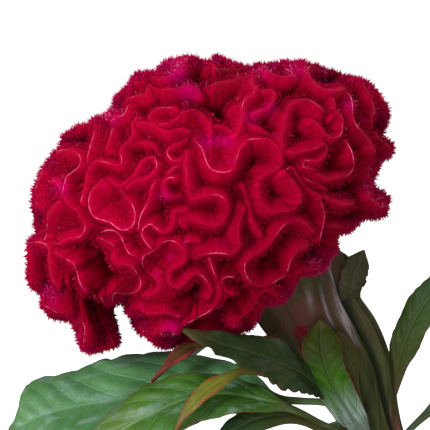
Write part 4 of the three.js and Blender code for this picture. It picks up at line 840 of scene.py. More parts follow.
# The outline as the eye sees it: angle in degrees, anticlockwise from the right, and reach in picture steps.
OUTLINE = [
    [0.5, 175], [2.5, 166], [4.2, 164], [6.5, 168], [9, 171], [11.3, 173], [12.4, 186], [13.4, 190],
    [15.6, 193], [17.5, 190], [19.2, 187.5], [21, 190], [24, 195.5], [27, 199], [31, 199], [35, 193.5],
    [39, 188], [43.6, 181], [49, 168], [55, 165], [59.3, 154.5], [64, 150.5], [68.6, 144], [72.6, 133.5],
    [76, 133], [81, 135], [85, 138], [87.6, 143], [91, 132.5], [96, 138], [101, 142], [106, 140],
    [111, 141.5], [114.5, 134], [120.5, 142], [124, 141], [127, 137], [133.5, 137], [137.4, 135.5],
    [142.3, 130.5], [148.4, 141], [153.4, 151], [160, 162], [167.2, 165], [174, 173.5], [178.4, 176.5],
    [186, 183], [190, 179.5], [192.6, 176], [194.4, 188], [196.5, 192], [198.9, 195.5], [201, 200.5],
    [202.6, 202], [204.3, 197], [206.05, 204], [207.5, 206], [208.8, 200], [210.2, 188], [212.5, 196],
    [213.5, 198], [215.8, 200], [217.2, 200.5], [219.5, 198], [220.4, 194], [222.2, 188.5], [223.7, 183],
    [224.7, 176.5], [225.6, 169], [226.6, 162], [227.6, 154], [228.4, 146], [229.3, 139.5], [230.5, 137.5],
    [231.8, 138.5], [234.3, 143.5], [237.7, 148], [240.6, 152.5], [243, 156], [246.8, 158], [249, 159],
    [251.8, 160], [255.5, 160], [259, 157], [262.4, 151], [265, 144], [270, 139],
    [275, 139], [278, 142], [282, 143], [286.4, 140], [290.3, 136], [293, 131], [298, 126], [303.2, 129],
    [307.8, 128], [311.5, 126], [319, 130], [324, 134], [328.5, 137], [333, 135], [337, 140], [343, 141.5],
    [346, 147], [349.8, 151.5], [351.3, 155], [352.3, 173], [353.2, 179.5], [354.6, 180.5], [356.5, 179.5],
    [358.4, 180],
]
# The lobe at the lower left hangs out to the side: past a reach in steps it swings by an angle in degrees.
SWING_TURN = 14
SWING_REACH = (150, 176)
SWING_START = (196, 214)
SWING_END = (236, 246)
SWING_PASSES = 12
SWING_EASE = 0.6
# Each fold's crest line: its flank's reach on the left and on the right in mm, how far it stands out, and its
# way through the picture as x, y pairs. A reach under zero is a shallow cup.
FOLDS = [
    [3, -6, 0.5, [58, 152, 66, 150, 74, 151, 80, 155, 82, 160, 80, 167, 74, 172, 68, 177, 66, 184]],
    [2.5, -6, 0.8, [66, 186, 65, 194, 68, 201, 73, 206, 79, 210, 83, 218, 87, 225, 85, 233, 79, 237, 70, 239,
      61, 243]],
    [-6, 5.5, 0.3, [58, 204, 52, 209, 49, 216, 48, 224, 48, 232, 45, 240]],
    [5, 6.5, 0.2, [34, 241, 44, 243, 48, 246, 50, 251, 49, 257, 50, 264, 51, 273, 55, 283]],
    [3, -5.5, 0.6, [56, 251, 62, 255, 69, 259, 74, 262, 77, 267, 79, 273, 81, 281, 86, 290]],
    [4, 4, 0.5, [42, 303, 48, 306, 53, 308, 57, 311, 63, 312, 69, 314, 75, 317, 81, 319, 85, 324, 86, 331,
      85, 339, 84, 348]],
    [3.4, 3.4, -0.4, [100, 298, 107, 309, 111, 320, 115, 333, 114, 345]],
    [4, 4, 0.4, [96, 118, 95, 127, 95, 134, 93, 141, 91, 148, 89, 155, 88, 161]],
    [3.5, 3.2, 0.8, [136, 120, 133, 127, 134, 134, 131, 141, 126, 145, 122, 151, 123, 158, 123, 163, 120, 166,
      112, 164, 104, 162, 97, 162, 92, 167, 89, 173, 88, 181, 86, 190, 83, 201]],
    [3.2, 3.6, 0.2, [101, 182, 106, 179, 111, 181, 115, 184, 120, 186, 127, 182, 133, 177, 138, 169, 143, 161,
      149, 158, 157, 157]],
    [-6.8, 2.6, 1.2, [102, 183, 95, 190, 92, 198, 92, 206, 95, 214, 100, 218, 107, 220, 113, 222, 118, 226,
      124, 229, 131, 228, 136, 222, 137, 214, 135, 206, 131, 200, 127, 196, 125, 192]],
    [3, 3, 0.9, [125, 192, 128, 188, 132, 184, 137, 181, 143, 180, 150, 178, 155, 173, 158, 166, 156, 160]],
    [3, 3, 0, [102, 232, 109, 230, 115, 231, 119, 234, 122, 239, 125, 246, 129, 253, 135, 256]],
    [3, 7, 1.4, [103, 237, 108, 239, 112, 241, 116, 244, 117, 249, 117, 255, 120, 260, 126, 262, 132, 263,
      137, 268, 141, 274, 143, 281, 140, 287, 134, 290, 126, 291, 118, 290, 115, 296, 116, 304]],
    [2.4, 3.4, 0.5, [139, 228, 140, 221, 142, 214, 146, 207, 149, 202, 151, 196, 152, 189, 155, 182]],
    [3, 3, 0.6, [152, 248, 147, 242, 143, 235, 144, 229, 148, 225, 152, 224, 157, 228, 161, 231, 166, 232,
      171, 229, 174, 222, 174, 215, 178, 211, 185, 210]],
    [3, -5.2, 0.8, [149, 253, 156, 249, 161, 244, 168, 240, 176, 241, 182, 246, 186, 254, 184, 261, 177, 265,
      171, 269]],
    [2.8, 3.4, 0.9, [171, 269, 169, 275, 171, 283, 177, 286, 183, 283, 188, 278, 194, 273, 200, 273, 205, 277,
      209, 283, 211, 290, 208, 297]],
    [-5, 2.8, 0.4, [147, 253, 143, 259, 144, 266, 148, 272, 154, 276, 158, 283, 157, 290, 151, 294, 142, 295]],
    [4, 6.5, 0.6, [127, 311, 133, 306, 139, 307, 146, 311, 155, 312, 163, 311, 171, 312, 179, 315]],
    [3.6, 4, 0.2, [148, 336, 157, 333, 167, 330, 177, 333]],
    [3, 4, 0.5, [218, 284, 220, 292, 218, 299, 215, 305, 209, 310, 202, 314, 195, 318, 187, 322]],
    [3, 2.6, 0, [233, 277, 226, 277, 222, 281, 222, 287, 226, 292, 233, 295]],
    [2.6, 3, 0, [209, 257, 211, 264, 214, 272, 217, 280]],
    [5.6, 3, 0.9, [196, 257, 203, 254, 212, 252, 221, 252, 230, 253, 236, 250, 239, 244, 238, 236, 238, 228,
      240, 219, 243, 211]],
    [4, 4.4, 1, [189, 190, 193, 198, 200, 197, 208, 195, 216, 195, 222, 197, 227, 205, 227, 213, 223, 220,
      217, 224, 209, 224, 202, 222, 195, 219, 189, 218, 184, 222]],
    [5.5, 3, 1, [188, 154, 186, 163, 187, 172, 187, 181, 189, 190]],
    [-6.6, 4.2, 1.6, [196, 143, 202, 150, 205, 158, 208, 166, 213, 171, 221, 173, 229, 172, 234, 166, 236, 159,
      239, 151, 244, 145]],
    [3, 4.6, 1, [247, 141, 254, 140, 262, 140, 270, 142, 276, 147, 280, 155, 280, 164, 275, 170, 268, 173,
      262, 176, 258, 181, 256, 187]],
    [5.4, 3, 1.6, [256, 187, 256, 193, 258, 199, 262, 206, 269, 211, 277, 211, 285, 210, 292, 208, 297, 201,
      297, 193, 293, 186, 288, 180, 283, 174]],
    [2.8, 2.6, 0.2, [243, 188, 246, 196, 248, 204, 250, 212, 252, 220, 256, 228, 261, 235]],
    [5.4, 6, 0.8, [250, 76, 251, 84, 254, 90, 252, 96, 246, 100, 242, 106, 242, 114, 241, 122, 239, 129,
      236, 135]],
    [3, 3, 0.4, [216, 127, 222, 127, 228, 130, 233, 134]],
    [3.4, 3.2, 0.2, [255, 113, 262, 110, 268, 107, 273, 100, 274, 94, 270, 90, 262, 91]],
    [6, 3.6, 1.3, [318, 110, 308, 103, 298, 102, 289, 106, 284, 113, 283, 121, 281, 130, 279, 139, 280, 148]],
    [5, 2.6, 0.9, [284, 153, 292, 154, 299, 153, 306, 151, 314, 149, 321, 146]],
    [2.8, 2.8, 0.4, [322, 142, 326, 149, 323, 156, 318, 161, 310, 161, 304, 161, 302, 166]],
    [4, 3.4, 0.5, [302, 167, 309, 170, 316, 174, 323, 178, 331, 179, 339, 177, 347, 175, 352, 168, 352, 159,
      350, 151, 346, 144]],
    [2.4, 3, 0, [294, 169, 298, 177, 302, 183, 308, 189, 315, 193, 323, 198]],
    [2, 2, 0, [303, 177, 310, 181, 317, 184, 325, 188]],
    [3.4, 3, 0.5, [337, 113, 341, 119, 341, 127, 340, 134, 335, 138, 329, 138, 323, 133, 319, 127, 312, 121]],
    [4.2, 4.6, 0.8, [304, 66, 307, 75, 311, 82, 317, 88, 325, 91, 334, 91, 342, 89]],
    [5, 3.6, 0.5, [361, 78, 364, 87, 368, 95, 371, 102, 373, 110, 371, 119]],
    [4, 4, 0.2, [343, 90, 350, 97, 352, 106, 352, 115, 355, 124, 362, 133, 369, 141, 374, 151]],
    [3, 3, 0, [333, 99, 335, 107, 333, 116]],
    [4, 3.4, 0.3, [371, 160, 368, 170, 368, 181, 368, 190, 370, 199, 377, 205, 385, 207]],
    [3.6, 3.6, 0.2, [377, 136, 385, 143, 391, 150, 387, 158]],
    [3.4, 3.6, 0.2, [320, 199, 322, 207, 324, 215, 323, 223, 321, 232, 319, 240]],
    [3, 3, 0, [326, 198, 335, 202, 344, 205, 353, 203]],
    [3.4, 3.4, 0.2, [333, 226, 342, 226, 351, 227]],
    [4, 4, 0.6, [312, 231, 304, 223, 296, 220, 287, 222, 280, 228, 274, 236, 267, 245, 258, 252, 250, 256]],
    [4.6, 3.2, 0.8, [250, 256, 245, 261, 244, 268, 246, 275, 251, 281, 259, 285, 267, 284, 275, 279, 283, 275]],
    [5.4, 3.6, 0.4, [306, 245, 299, 249, 293, 255, 289, 262, 287, 270]],
    [3.6, 3.6, 0.6, [284, 303, 277, 297, 270, 291, 262, 292, 256, 299, 253, 306, 246, 312, 239, 318, 234, 326]],
    [4.8, 4, 0.8, [149, 72, 153, 78, 160, 80, 168, 78, 176, 74, 183, 67, 187, 60]],
    [4, 4.6, 0.6, [206, 60, 211, 67, 219, 70, 227, 70, 236, 67, 245, 68]],
    [3, 6.5, 0.3, [206, 88, 214, 84, 223, 82, 232, 80, 241, 77, 249, 76]],
    [3.4, 4, 0.5, [150, 86, 159, 90, 168, 90, 178, 89, 187, 86, 195, 88, 200, 93]],
    [3, 3, 0, [130, 77, 136, 82, 142, 80, 147, 76]],
    [4, 4, 0.3, [128, 99, 135, 97, 142, 95, 147, 92, 149, 86]],
    [3, -3.6, 0.3, [184, 112, 179, 117, 173, 122, 166, 124, 158, 125, 151, 121, 151, 114, 158, 109, 166, 108,
      175, 109]],
    [3, 4, 0.5, [135, 125, 142, 123, 149, 124, 156, 127, 162, 131, 168, 133, 175, 131, 182, 130, 188, 132]],
    [3, 3, 0.1, [137, 143, 144, 143, 151, 145, 156, 149, 159, 155]],
    [3, 3, 0.4, [187, 140, 180, 144, 173, 147, 168, 151, 169, 157, 174, 161, 181, 160, 186, 154]],
    [3.6, 3, 0.3, [175, 178, 169, 178, 164, 183, 164, 189, 167, 195, 173, 197, 180, 196]],
    [2.6, 2.6, 0, [168, 173, 175, 167, 182, 164]],
    [3.4, 5, 0.7, [184, 114, 191, 111, 198, 113, 204, 117, 208, 124, 211, 132]],
    [2.6, 3, 0, [184, 243, 191, 240, 198, 241]],
    [4.4, 4.6, 0.6, [102, 113, 110, 117, 118, 118, 125, 115, 129, 107]],
    [4, 4, 0, [113, 128, 110, 138, 107, 148]],
    [4, 4, 0.2, [44, 170, 39, 181, 36, 192, 37, 204]],
    [3, 3, 0.4, [50, 181, 57, 183, 61, 189, 62, 197]],
    [5, 5, 0.2, [262, 68, 272, 74, 283, 77, 294, 75]],
    [3.4, 3.4, 0, [250, 125, 262, 130, 271, 137]],
]
# Places in the picture where a magenta sheen is painted on the pile, each with its radius in steps.
SHEEN_PLACES = [
    (112, 117, 9), (172, 64, 13), (188, 92, 10), (262, 66, 12), (206, 142, 6), (217, 140, 6), (228, 141, 6),
    (60, 188, 8), (172, 328, 9), (52, 296, 8), (296, 70, 9), (330, 76, 10), (164, 196, 6), (350, 106, 6),
    (252, 118, 7), (176, 74, 8), (316, 262, 8), (372, 186, 8), (270, 108, 6)]
# Places where the flanks are painted dark as shadow, and where they are painted lighter as if they catch the
# light.
SHADOW_PLACES = [
    (180, 80, 10), (204, 84, 10), (193, 110, 10), (192, 140, 11), (226, 72, 8), (178, 196, 11), (158, 152, 7),
    (250, 178, 6), (242, 194, 9), (234, 212, 11), (225, 276, 12), (270, 130, 8), (282, 106, 8), (305, 96, 9),
    (350, 100, 10), (366, 118, 9), (385, 138, 10), (325, 200, 8), (352, 198, 8), (340, 240, 8), (97, 236, 10),
    (90, 262, 8), (90, 290, 10), (94, 314, 12), (103, 330, 11), (175, 308, 8), (193, 260, 8), (237, 312, 7),
    (296, 165, 7), (275, 265, 6), (340, 148, 7), (120, 195, 7), (72, 172, 6)]
LIGHT_PLACES = [
    (224, 106, 10), (295, 130, 9), (76, 138, 9), (42, 214, 9), (40, 280, 9), (104, 264, 7), (250, 156, 9),
    (258, 220, 9), (262, 184, 7), (150, 100, 7), (262, 258, 7), (198, 322, 10), (192, 294, 7), (318, 258, 8),
    (140, 190, 7), (215, 178, 6), (296, 238, 9), (300, 252, 9), (222, 320, 9), (58, 180, 7), (45, 192, 8),
    (66, 285, 8), (365, 217, 8), (322, 72, 8)]


def outline_reach(angle):
    degrees = np.degrees(angle) % 360
    stops = np.array(OUTLINE, float)
    i = np.searchsorted(stops[:, 0], degrees, side="right") - 1
    start, end = stops[i], stops[(i + 1) % len(stops)]
    t = ((degrees - start[..., 0]) % 360) / ((end[..., 0] - start[..., 0]) % 360)
    return (start[..., 1] + (end[..., 1] - start[..., 1]) * t * t * (3 - 2 * t)) * STEP / MM


def swing(angle, reach):
    degrees = np.degrees(angle) % 360
    return math.radians(SWING_TURN) * smooth(reach * MM / STEP, *SWING_REACH) \
        * smooth(degrees, *SWING_START) * (1 - smooth(degrees, *SWING_END))


def swung_from(angle, reach):
    start = angle
    for _ in range(SWING_PASSES):
        start = start + SWING_EASE * (angle - start - swing(start, reach))
    return start


def cushion_point(direction, depth=0):
    """Points in mm at a depth in mm under the bare cushion, for unit directions along the eye's axes."""
    start = np.arctan2(direction[..., 1], direction[..., 0])
    reach = outline_reach(start) * np.hypot(direction[..., 0], direction[..., 1])
    near = direction[..., 2] * CREST_HALF_DEPTH
    left = 1 - depth / np.hypot(reach, near)
    angle = start + swing(start, reach * left)
    return CREST_CENTRE / MM + RIGHT * (np.cos(angle) * reach * left)[..., None] \
        + RISE * (np.sin(angle) * reach * left)[..., None] + FACE * (near * left)[..., None]


def seen_direction(x, y):
    """The direction of the cushion's front point that is seen at a picture place."""
    near = np.zeros_like(x)
    for _ in range(SEEN_PASSES):
        shrink = 1 - near * MM / EYE_DISTANCE
        right = ((x - FRAME_MIDDLE) * shrink + FRAME_MIDDLE - CREST_PX[0]) * STEP / MM
        rise = ((FRAME_MIDDLE - y) * shrink + CREST_PX[1] - FRAME_MIDDLE) * STEP / MM
        reach = np.hypot(right, rise)
        angle = swung_from(np.arctan2(rise, right), reach)
        share = np.minimum(SEEN_LIMIT, reach / outline_reach(angle))
        direction = np.stack([share * np.cos(angle), share * np.sin(angle), np.sqrt(1 - share ** 2)], -1)
        near = direction[..., 2] * CREST_HALF_DEPTH
    return direction


def behind(direction):
    """The back repeats the front's folds, mirrored and turned."""
    angle = BACK_TURN - np.arctan2(direction[..., 1], direction[..., 0])
    share = np.hypot(direction[..., 0], direction[..., 1])
    return np.stack([share * np.cos(angle), share * np.sin(angle), -direction[..., 2]], -1)


def trace_fold(left, right, lift, direction):
    point = cushion_point(direction)
    reach = outline_reach(np.arctan2(direction[:, 1], direction[:, 0]))[:, None]
    outward = unit(RIGHT * direction[:, :1] / reach + RISE * direction[:, 1:2] / reach
                   + FACE * direction[:, 2:] / CREST_HALF_DEPTH)
    heading = unit(np.concatenate([point[1:2] - point[:1], point[2:] - point[:-2], point[-1:] - point[-2:-1]]))
    return {"left": left, "right": right, "lift": lift, "point": point, "heading": heading,
            "side": unit(np.cross(heading, outward))}


folds = []
for left, right, lift, places in FOLDS:
    knots = np.array(places, float).reshape(-1, 2)
    length = np.linalg.norm(np.diff(knots, axis=0), axis=1).sum() * STEP / MM
    way = spline(knots, np.linspace(0, 1, math.ceil(SLANT * length / FOLD_STEP) + 1))
    front = seen_direction(way[:, 0], way[:, 1])
    folds += [trace_fold(left, right, lift, front), trace_fold(left, right, lift, behind(front))]
belt_angle = np.linspace(0, 2 * np.pi, BELT_MARKS + 1)
lip = LIP_TILT * np.maximum(0, np.cos(2 * (belt_angle - LIP_AT))) * (np.cos(belt_angle - LIP_AT) > 0)
tilt = BELT_SWING * np.sin(BELT_WAVES * belt_angle) + lip
belt = np.stack([np.cos(tilt) * np.cos(belt_angle), np.cos(tilt) * np.sin(belt_angle), np.sin(tilt)], -1)
folds.append(trace_fold(BELT_HALF, BELT_HALF, 0, belt))


def fall(distance, reach):
    """How far the surface lies below a crest line, at a distance from it on a side with a given reach."""
    wide = abs(reach)
    share = distance / wide
    inner = np.minimum(share, 1)
    if reach < 0:
        cup = CUP_DEPTH + CUP_DEPTH_SHARE * wide
        return cup * (1 - (1 - inner) ** CUP_CURVE) + np.maximum(0, share - CUP_END) * wide * PLUNGE
    drop = FLANK_DROP + FLANK_DROP_SHARE * wide
    belly = FLANK_SLOPE * inner + (1 - FLANK_SLOPE) * inner ** FLANK_CURVE
    return drop * belly + np.maximum(0, share - 1) * wide * PLUNGE


def sunk(points):
    """For each point of the cushion: its depth under it, its distance along and from its fold, and its share of
    the way down the flank."""
    depth = np.full(len(points), float(CREST_DEEPEST))
    along, beside, share = np.zeros(len(points)), np.full(len(points), FAR_SIDE), np.ones(len(points))
    for number, fold in enumerate(folds):
        marks = fold["point"]
        close = np.all((points > marks.min(0) - FOLD_RANGE) & (points < marks.max(0) + FOLD_RANGE), axis=1)
        chosen = np.flatnonzero(close)
        for part in np.array_split(chosen, max(1, len(chosen) * len(marks) // PAIRS_AT_ONCE)):
            apart = ((points[part, None] - marks[None]) ** 2).sum(-1)
            nearest = apart.argmin(1)
            off = points[part] - marks[nearest]
            slid = np.clip((off * fold["heading"][nearest]).sum(1), -FOLD_STEP / 2, FOLD_STEP / 2)
            off = off - fold["heading"][nearest] * slid[:, None]
            distance = np.linalg.norm(off, axis=1)
            to_right = (off * fold["side"][nearest]).sum(1) / np.maximum(distance, 1e-6)
            blend = smooth(to_right, -SIDE_BLEND, SIDE_BLEND)
            rounded = np.sqrt(distance ** 2 + LINE_ROUND ** 2) - LINE_ROUND
            low = fall(rounded, fold["right"]) * blend + fall(rounded, fold["left"]) * (1 - blend) \
                - fold["lift"]
            wins = low < depth[part]
            won = part[wins]
            depth[won] = low[wins]
            along[won] = (nearest * FOLD_STEP + slid + MAP_STRIDE * number)[wins]
            beside[won] = (distance * np.sign(to_right))[wins]
            reach = abs(fold["right"]) * blend + abs(fold["left"]) * (1 - blend)
            share[won] = (distance / reach)[wins]
    return depth, along, beside, np.minimum(share, SHARE_LIMIT)


def even_sphere(frequency):
    """A sphere of nearly even triangles, each side of an icosahedron split by the frequency."""
    seed = bmesh.new()
    bmesh.ops.create_icosphere(seed, subdivisions=1, radius=1)
    corners = np.array([v.co[:] for v in seed.verts])
    sides = [[v.index for v in face.verts] for face in seed.faces]
    seed.free()
    rows = [(i, j) for i in range(frequency + 1) for j in range(frequency + 1 - i)]
    number = {key: n for n, key in enumerate(rows)}
    weights = np.array([(frequency - i - j, i, j) for i, j in rows], float) / frequency
    small = []
    for i in range(frequency):
        for j in range(frequency - i):
            small.append((number[i, j], number[i + 1, j], number[i, j + 1]))
            if i + j < frequency - 1:
                small.append((number[i + 1, j], number[i + 1, j + 1], number[i, j + 1]))
    points = np.concatenate([weights @ corners[side] for side in sides])
    faces = np.concatenate([np.array(small) + n * len(rows) for n in range(len(sides))])
    _, first, merged = np.unique(np.round(points, 6), axis=0, return_index=True, return_inverse=True)
    return unit(points[first]), merged.ravel()[faces]


sphere, faces = even_sphere(CREST_FREQUENCY)
polar = np.arccos(np.clip(sphere[:, 2], -1, 1))
pulled = polar - FRONT_PULL * np.sin(polar)
direction = np.concatenate([sphere[:, :2] * (np.sin(pulled) / np.maximum(np.sin(polar), 1e-9))[:, None],
                            np.cos(pulled)[:, None]], 1)
depth, along, beside, share = sunk(cushion_point(unit(direction)))
surface = cushion_point(unit(direction), depth)
crest = new_piece("crest_velvet", surface * MM, faces.tolist())
add_corner_map(crest.data, "pile", along, beside)
off = surface - CREST_CENTRE / MM
toward = off @ FACE
shrink = 1 - toward * MM / EYE_DISTANCE
seen_x = ((off @ RIGHT) * MM / STEP + CREST_PX[0] - FRAME_MIDDLE) / shrink + FRAME_MIDDLE
seen_y = FRAME_MIDDLE - ((off @ RISE) * MM / STEP + FRAME_MIDDLE - CREST_PX[1]) / shrink


def near_places(places):
    near = sum(np.exp(-((seen_x - x) ** 2 + (seen_y - y) ** 2) / (2 * (SPOT_SPREAD * radius) ** 2))
               for x, y, radius in places)
    return np.minimum(near, 1) * (toward > 0)


# Where the pile grows: on flanks that aren't in a crevice, and all round the cushion's rim. The short hairs are
# furry, and the long ones fringe what is turned away from the eye. Both lie flatter on what faces it. The
# ranges are of the share of the way down the flank, of the depth, and of how far a place faces the eye.
RIM_SIDE, RIM_EDGE = (0.25, 0.6), (0.15, 0.5)
FURRY_SHARE, FRINGE_SHARE, FRINGE_FACING = (0.15, 0.45), (0.2, 0.5), (0.2, 0.6)
CREVICE_DEPTH, CREVICE_LOSS = (0.45, 0.8), 0.85
LYING_FACING, LYING_LOSS = (0.3, 0.75), 0.6
normals = np.empty(len(surface) * 3, np.float32)
crest.data.vertices.foreach_get("normal", normals)
facing = normals.reshape(-1, 3) @ FACE
rim_side = 1 - smooth(direction[:, 2], *RIM_SIDE)
open_flank = 1 - CREVICE_LOSS * smooth(depth / CREST_DEEPEST, *CREVICE_DEPTH)
fringe_flank = smooth(share, *FRINGE_SHARE) * (1 - smooth(facing, *FRINGE_FACING))
crest_values = {
    "depth": depth / CREST_DEEPEST, "share": share, "magenta_sheen": near_places(SHEEN_PLACES),
    "dark": near_places(SHADOW_PLACES), "lit": near_places(LIGHT_PLACES),
    "edge": 1 - smooth(np.abs(direction[:, 2]), *RIM_EDGE),
    "stand": 1 - LYING_LOSS * smooth(facing, *LYING_FACING),
    "furry": np.maximum(smooth(share, *FURRY_SHARE), rim_side) * open_flank,
    "fringed": np.maximum(fringe_flank, rim_side) * open_flank}
for name, value in crest_values.items():
    add_points_value(crest.data, name, value)


# The velvet's colour is painted light and shade: lit on the ridges, darker down the flanks and in the crevices,
# a painted highlight near the crest lines, painted shadow and painted light at listed places, and a painted
# magenta sheen. Only the strands and the blotches are the pile's own tone.
def velvet_colour(tree, strands, strand_share, crevice_shade, flank_shade, high, ridge_highlight, sheen_colour):
    depth, share, magenta_sheen, dark, lit = add_values(tree, "depth", "share", "magenta_sheen", "dark", "lit")
    # Painted shadow at the listed places, strongest down the flanks.
    shadowed = add_math(tree, "MULTIPLY", dark, add_ramp(tree, share, 0.05, 0.5, 0.45, 0.8))
    # Painted magenta sheen at the listed places and in small speckles.
    sheen_patch = add_math(tree, "MULTIPLY", magenta_sheen, add_ramp(tree, strands, 0.3, 0.6, 0.9, 0.35))
    sheen_speckle = add_math(tree, "MULTIPLY", add_ramp(tree, add_noise(tree, 260, 3), 0.6, 0.75), 0.25)
    return add_layers(
        tree, high, (add_ramp(tree, share, 0.1, 0.85), flank_shade), (add_math(tree, "MULTIPLY", lit, 0.75), ridge_highlight),
        (add_ramp(tree, depth, 0.05, 0.52), crevice_shade), (add_ramp(tree, share, 0, 0.2, 0.8, 0), ridge_highlight),
        (shadowed, crevice_shade), (add_ramp(tree, strands, 0.42, 0.68, 0, strand_share), crevice_shade),
        (add_ramp(tree, add_noise(tree, 120), 0.5, 0.75, 0, 0.3), high),
        (add_math(tree, "MAXIMUM", sheen_patch, sheen_speckle), sheen_colour))


def set_velvet(tree, colour, **relief):
    share, = add_values(tree, "share")
    set_shader(tree, {"Base Color": colour, "Roughness": add_ramp(tree, share, 0.02, 0.2, 0.35, 0.8),
                      "Specular IOR Level": 0.07, "Specular Tint": (1, 0.1, 0.14, 1), "Sheen Weight": 0.12,
                      "Sheen Roughness": 0.4, "Sheen Tint": (0.9, 0, 0.12, 1)}, **relief)


crimson, tree = new_material("crimson_velvet")
pile_map = add_node(tree, "ShaderNodeUVMap", uv_map="pile").outputs[0]
strands = add_noise(tree, 1, 3, 0.65, stretch=(3.2, 0.45, 1), source=pile_map)
set_velvet(tree, velvet_colour(tree, strands, 0.5, VELVET_CREVICE_SHADE, VELVET_FLANK_SHADE, VELVET_RIDGE_LIT, VELVET_RIDGE_HIGHLIGHT,
                               VELVET_MAGENTA_SHEEN), height=strands, depth=0.5 * MM, strength=0.9)
finish(crest, crimson, "crest")


# Crest lines: the smooth rim that runs along the top of each fold, where the velvet's flanks meet. It stands
# clear and shines in stretches, beaded by the tiny flowers, and sinks into the velvet between them. Its shine
# is partly painted: the stretches and beads take painted highlight colours, and the tube widens there.
GLINT_NOISE = 80
GLINT_RANGE = (0.5, 0.66)
# The left of the crest faces the main lamp, so more of its lines shine: how much more, and the X at which it
# starts to fade and ends.
GLINT_LEFT_LIFT = 0.11
GLINT_LEFT = (-104 * MM, -84 * MM)
BEAD_NOISE = 750
BEAD_LEAST = 0.6
SUNK_WIDTH = 0.15
LINE_RADIUS = 0.14 * MM
LINE_SIDES = 5
LINE_SUNK = 0.02
# The rim's colour: dull between the stretches, and painted highlight colours where it shines and at its glints.
LINE_DULL, LINE_BRIGHT, LINE_GLINT = (0.48, 0, 0.045), (0.7, 0.02, 0.11), (0.93, 0.13, 0.33)

line_data = bpy.data.curves.new("crest_line_paths", "CURVE")
line_data.dimensions = "3D"
for fold in folds:
    own = fold["point"]
    low = sunk(own)[0]
    raised = own + unit(CREST_CENTRE / MM - own) * (low - LINE_SUNK)[:, None]
    path = line_data.splines.new("POLY")
    path.points.add(len(raised) - 1)
    path.points.foreach_set("co", np.append(raised * MM, np.ones((len(raised), 1)), axis=1).ravel())
lines = bpy.data.objects.new("crest_line_paths", line_data)
bpy.context.scene.collection.objects.link(lines)

rim_gloss, tree = new_material("rim_gloss")
shine, = add_values(tree, "shine")
# Painted highlight: brighter colour where the rim shines, strongest at its beads.
bead = add_ramp(tree, add_noise(tree, BEAD_NOISE, 0, 0.5), 0.35, 0.6, 0.3, 1)
glint = add_math(tree, "MULTIPLY", add_ramp(tree, shine, 0.25, 1), bead)
colour = add_mix(tree, glint, add_mix(tree, shine, LINE_DULL, LINE_BRIGHT), LINE_GLINT)
set_shader(tree, {"Base Color": colour, "Roughness": add_ramp(tree, shine, 0, 1, 0.7, 0.35),
                  "Specular IOR Level": 0.3, "Specular Tint": (1, 0.42, 0.6, 1)})


def rim_tubes(tree, entry):
    """A tree that lays a beaded tube along each path, and keeps how much it shines at each place."""
    place = add_node(tree, "GeometryNodeInputPosition").outputs[0]
    side = add_node(tree, "ShaderNodeSeparateXYZ", {0: place}).outputs["X"]
    lift = add_ramp(tree, side, *GLINT_LEFT, GLINT_LEFT_LIFT, 0, easing="LINEAR")
    stretches = add_noise(tree, GLINT_NOISE, 2, 0.5, source=place)
    shine = add_ramp(tree, add_math(tree, "ADD", stretches, lift), *GLINT_RANGE)
    beads = add_noise(tree, BEAD_NOISE, 0, 0.5, source=place)
    width = add_math(tree, "MULTIPLY", add_ramp(tree, shine, 0, 1, SUNK_WIDTH, 1, easing="LINEAR"),
                     add_ramp(tree, beads, 0.3, 0.7, BEAD_LEAST, 1, easing="LINEAR"))
    marked = add_node(tree, "GeometryNodeStoreNamedAttribute", {
        "Geometry": entry["Geometry"], "Name": "shine", "Value": shine}, data_type="FLOAT", domain="POINT")
    ring = add_node(tree, "GeometryNodeCurvePrimitiveCircle", {
        "Resolution": LINE_SIDES, "Radius": entry["Rim radius"]})
    return add_node(tree, "GeometryNodeCurveToMesh", {
        "Curve": marked.outputs[0], "Profile Curve": ring.outputs["Curve"], "Scale": width,
        "Fill Caps": True}).outputs["Mesh"]


crest_lines = grown("crest_lines", lines, {"Rim radius": LINE_RADIUS}, rim_gloss, rim_tubes)
finish(crest_lines, rim_gloss, "crest")


# Pile: the pointed tips of the tiny flowers, which stand out of the velvet on the flanks and make its edges
# furry. Each is a slim three-sided spike, in two sets: a short one all over, and a longer one that fringes what
# is turned away from the eye.
HAIR_SIDES = 3
HAIR_LEAN = 0.5
HAIR_SPIN = 3.1
HAIR_LEAST = 0.5
# The hairs' painted light and shade, as on the velvet, with their painted magenta sheen and pale glint.
HAIR_CREVICE_SHADE, HAIR_FLANK_SHADE, HAIR_RIDGE_LIT = (0.055, 0, 0.002), (0.33, 0, 0.02), (0.47, 0, 0.036)
HAIR_RIDGE_HIGHLIGHT, HAIR_MAGENTA_SHEEN, HAIR_GLINT_PINK = (0.51, 0, 0.045), (0.68, 0.002, 0.15), (0.85, 0.13, 0.3)
# Painted highlights on the hair tips: in front, and with a painted magenta sheen at the rim.
LIT_TIP_FRONT, LIT_TIP_RIM_SHEEN = (0.6, 0.003, 0.045), (0.58, 0.002, 0.17)
# The sets: name, seed, length in mm, base radius in mm, how many, and the value that says where.
HAIR_SETS = [("pile_short", 5, 1.0, 0.21, 46000, "furry"), ("pile_fringe", 6, 2.1, 0.32, 47000, "fringed")]

pile_hair, tree = new_material("pile_hair")
depth, magenta_sheen, tip, edge, hair_glint = add_values(tree, "depth", "magenta_sheen", "tip", "edge", "hair_glint")
colour = velvet_colour(tree, add_noise(tree, 900, 2), 0.2, HAIR_CREVICE_SHADE, HAIR_FLANK_SHADE, HAIR_RIDGE_LIT, HAIR_RIDGE_HIGHLIGHT,
                       HAIR_MAGENTA_SHEEN)
# Painted highlight on the tips, fading as painted shade deeper in the folds.
lit_tip = add_math(tree, "MULTIPLY", add_ramp(tree, tip, 0.15, 0.9),
                   add_ramp(tree, depth, 0.12, 0.42, 0.75, 0.1))
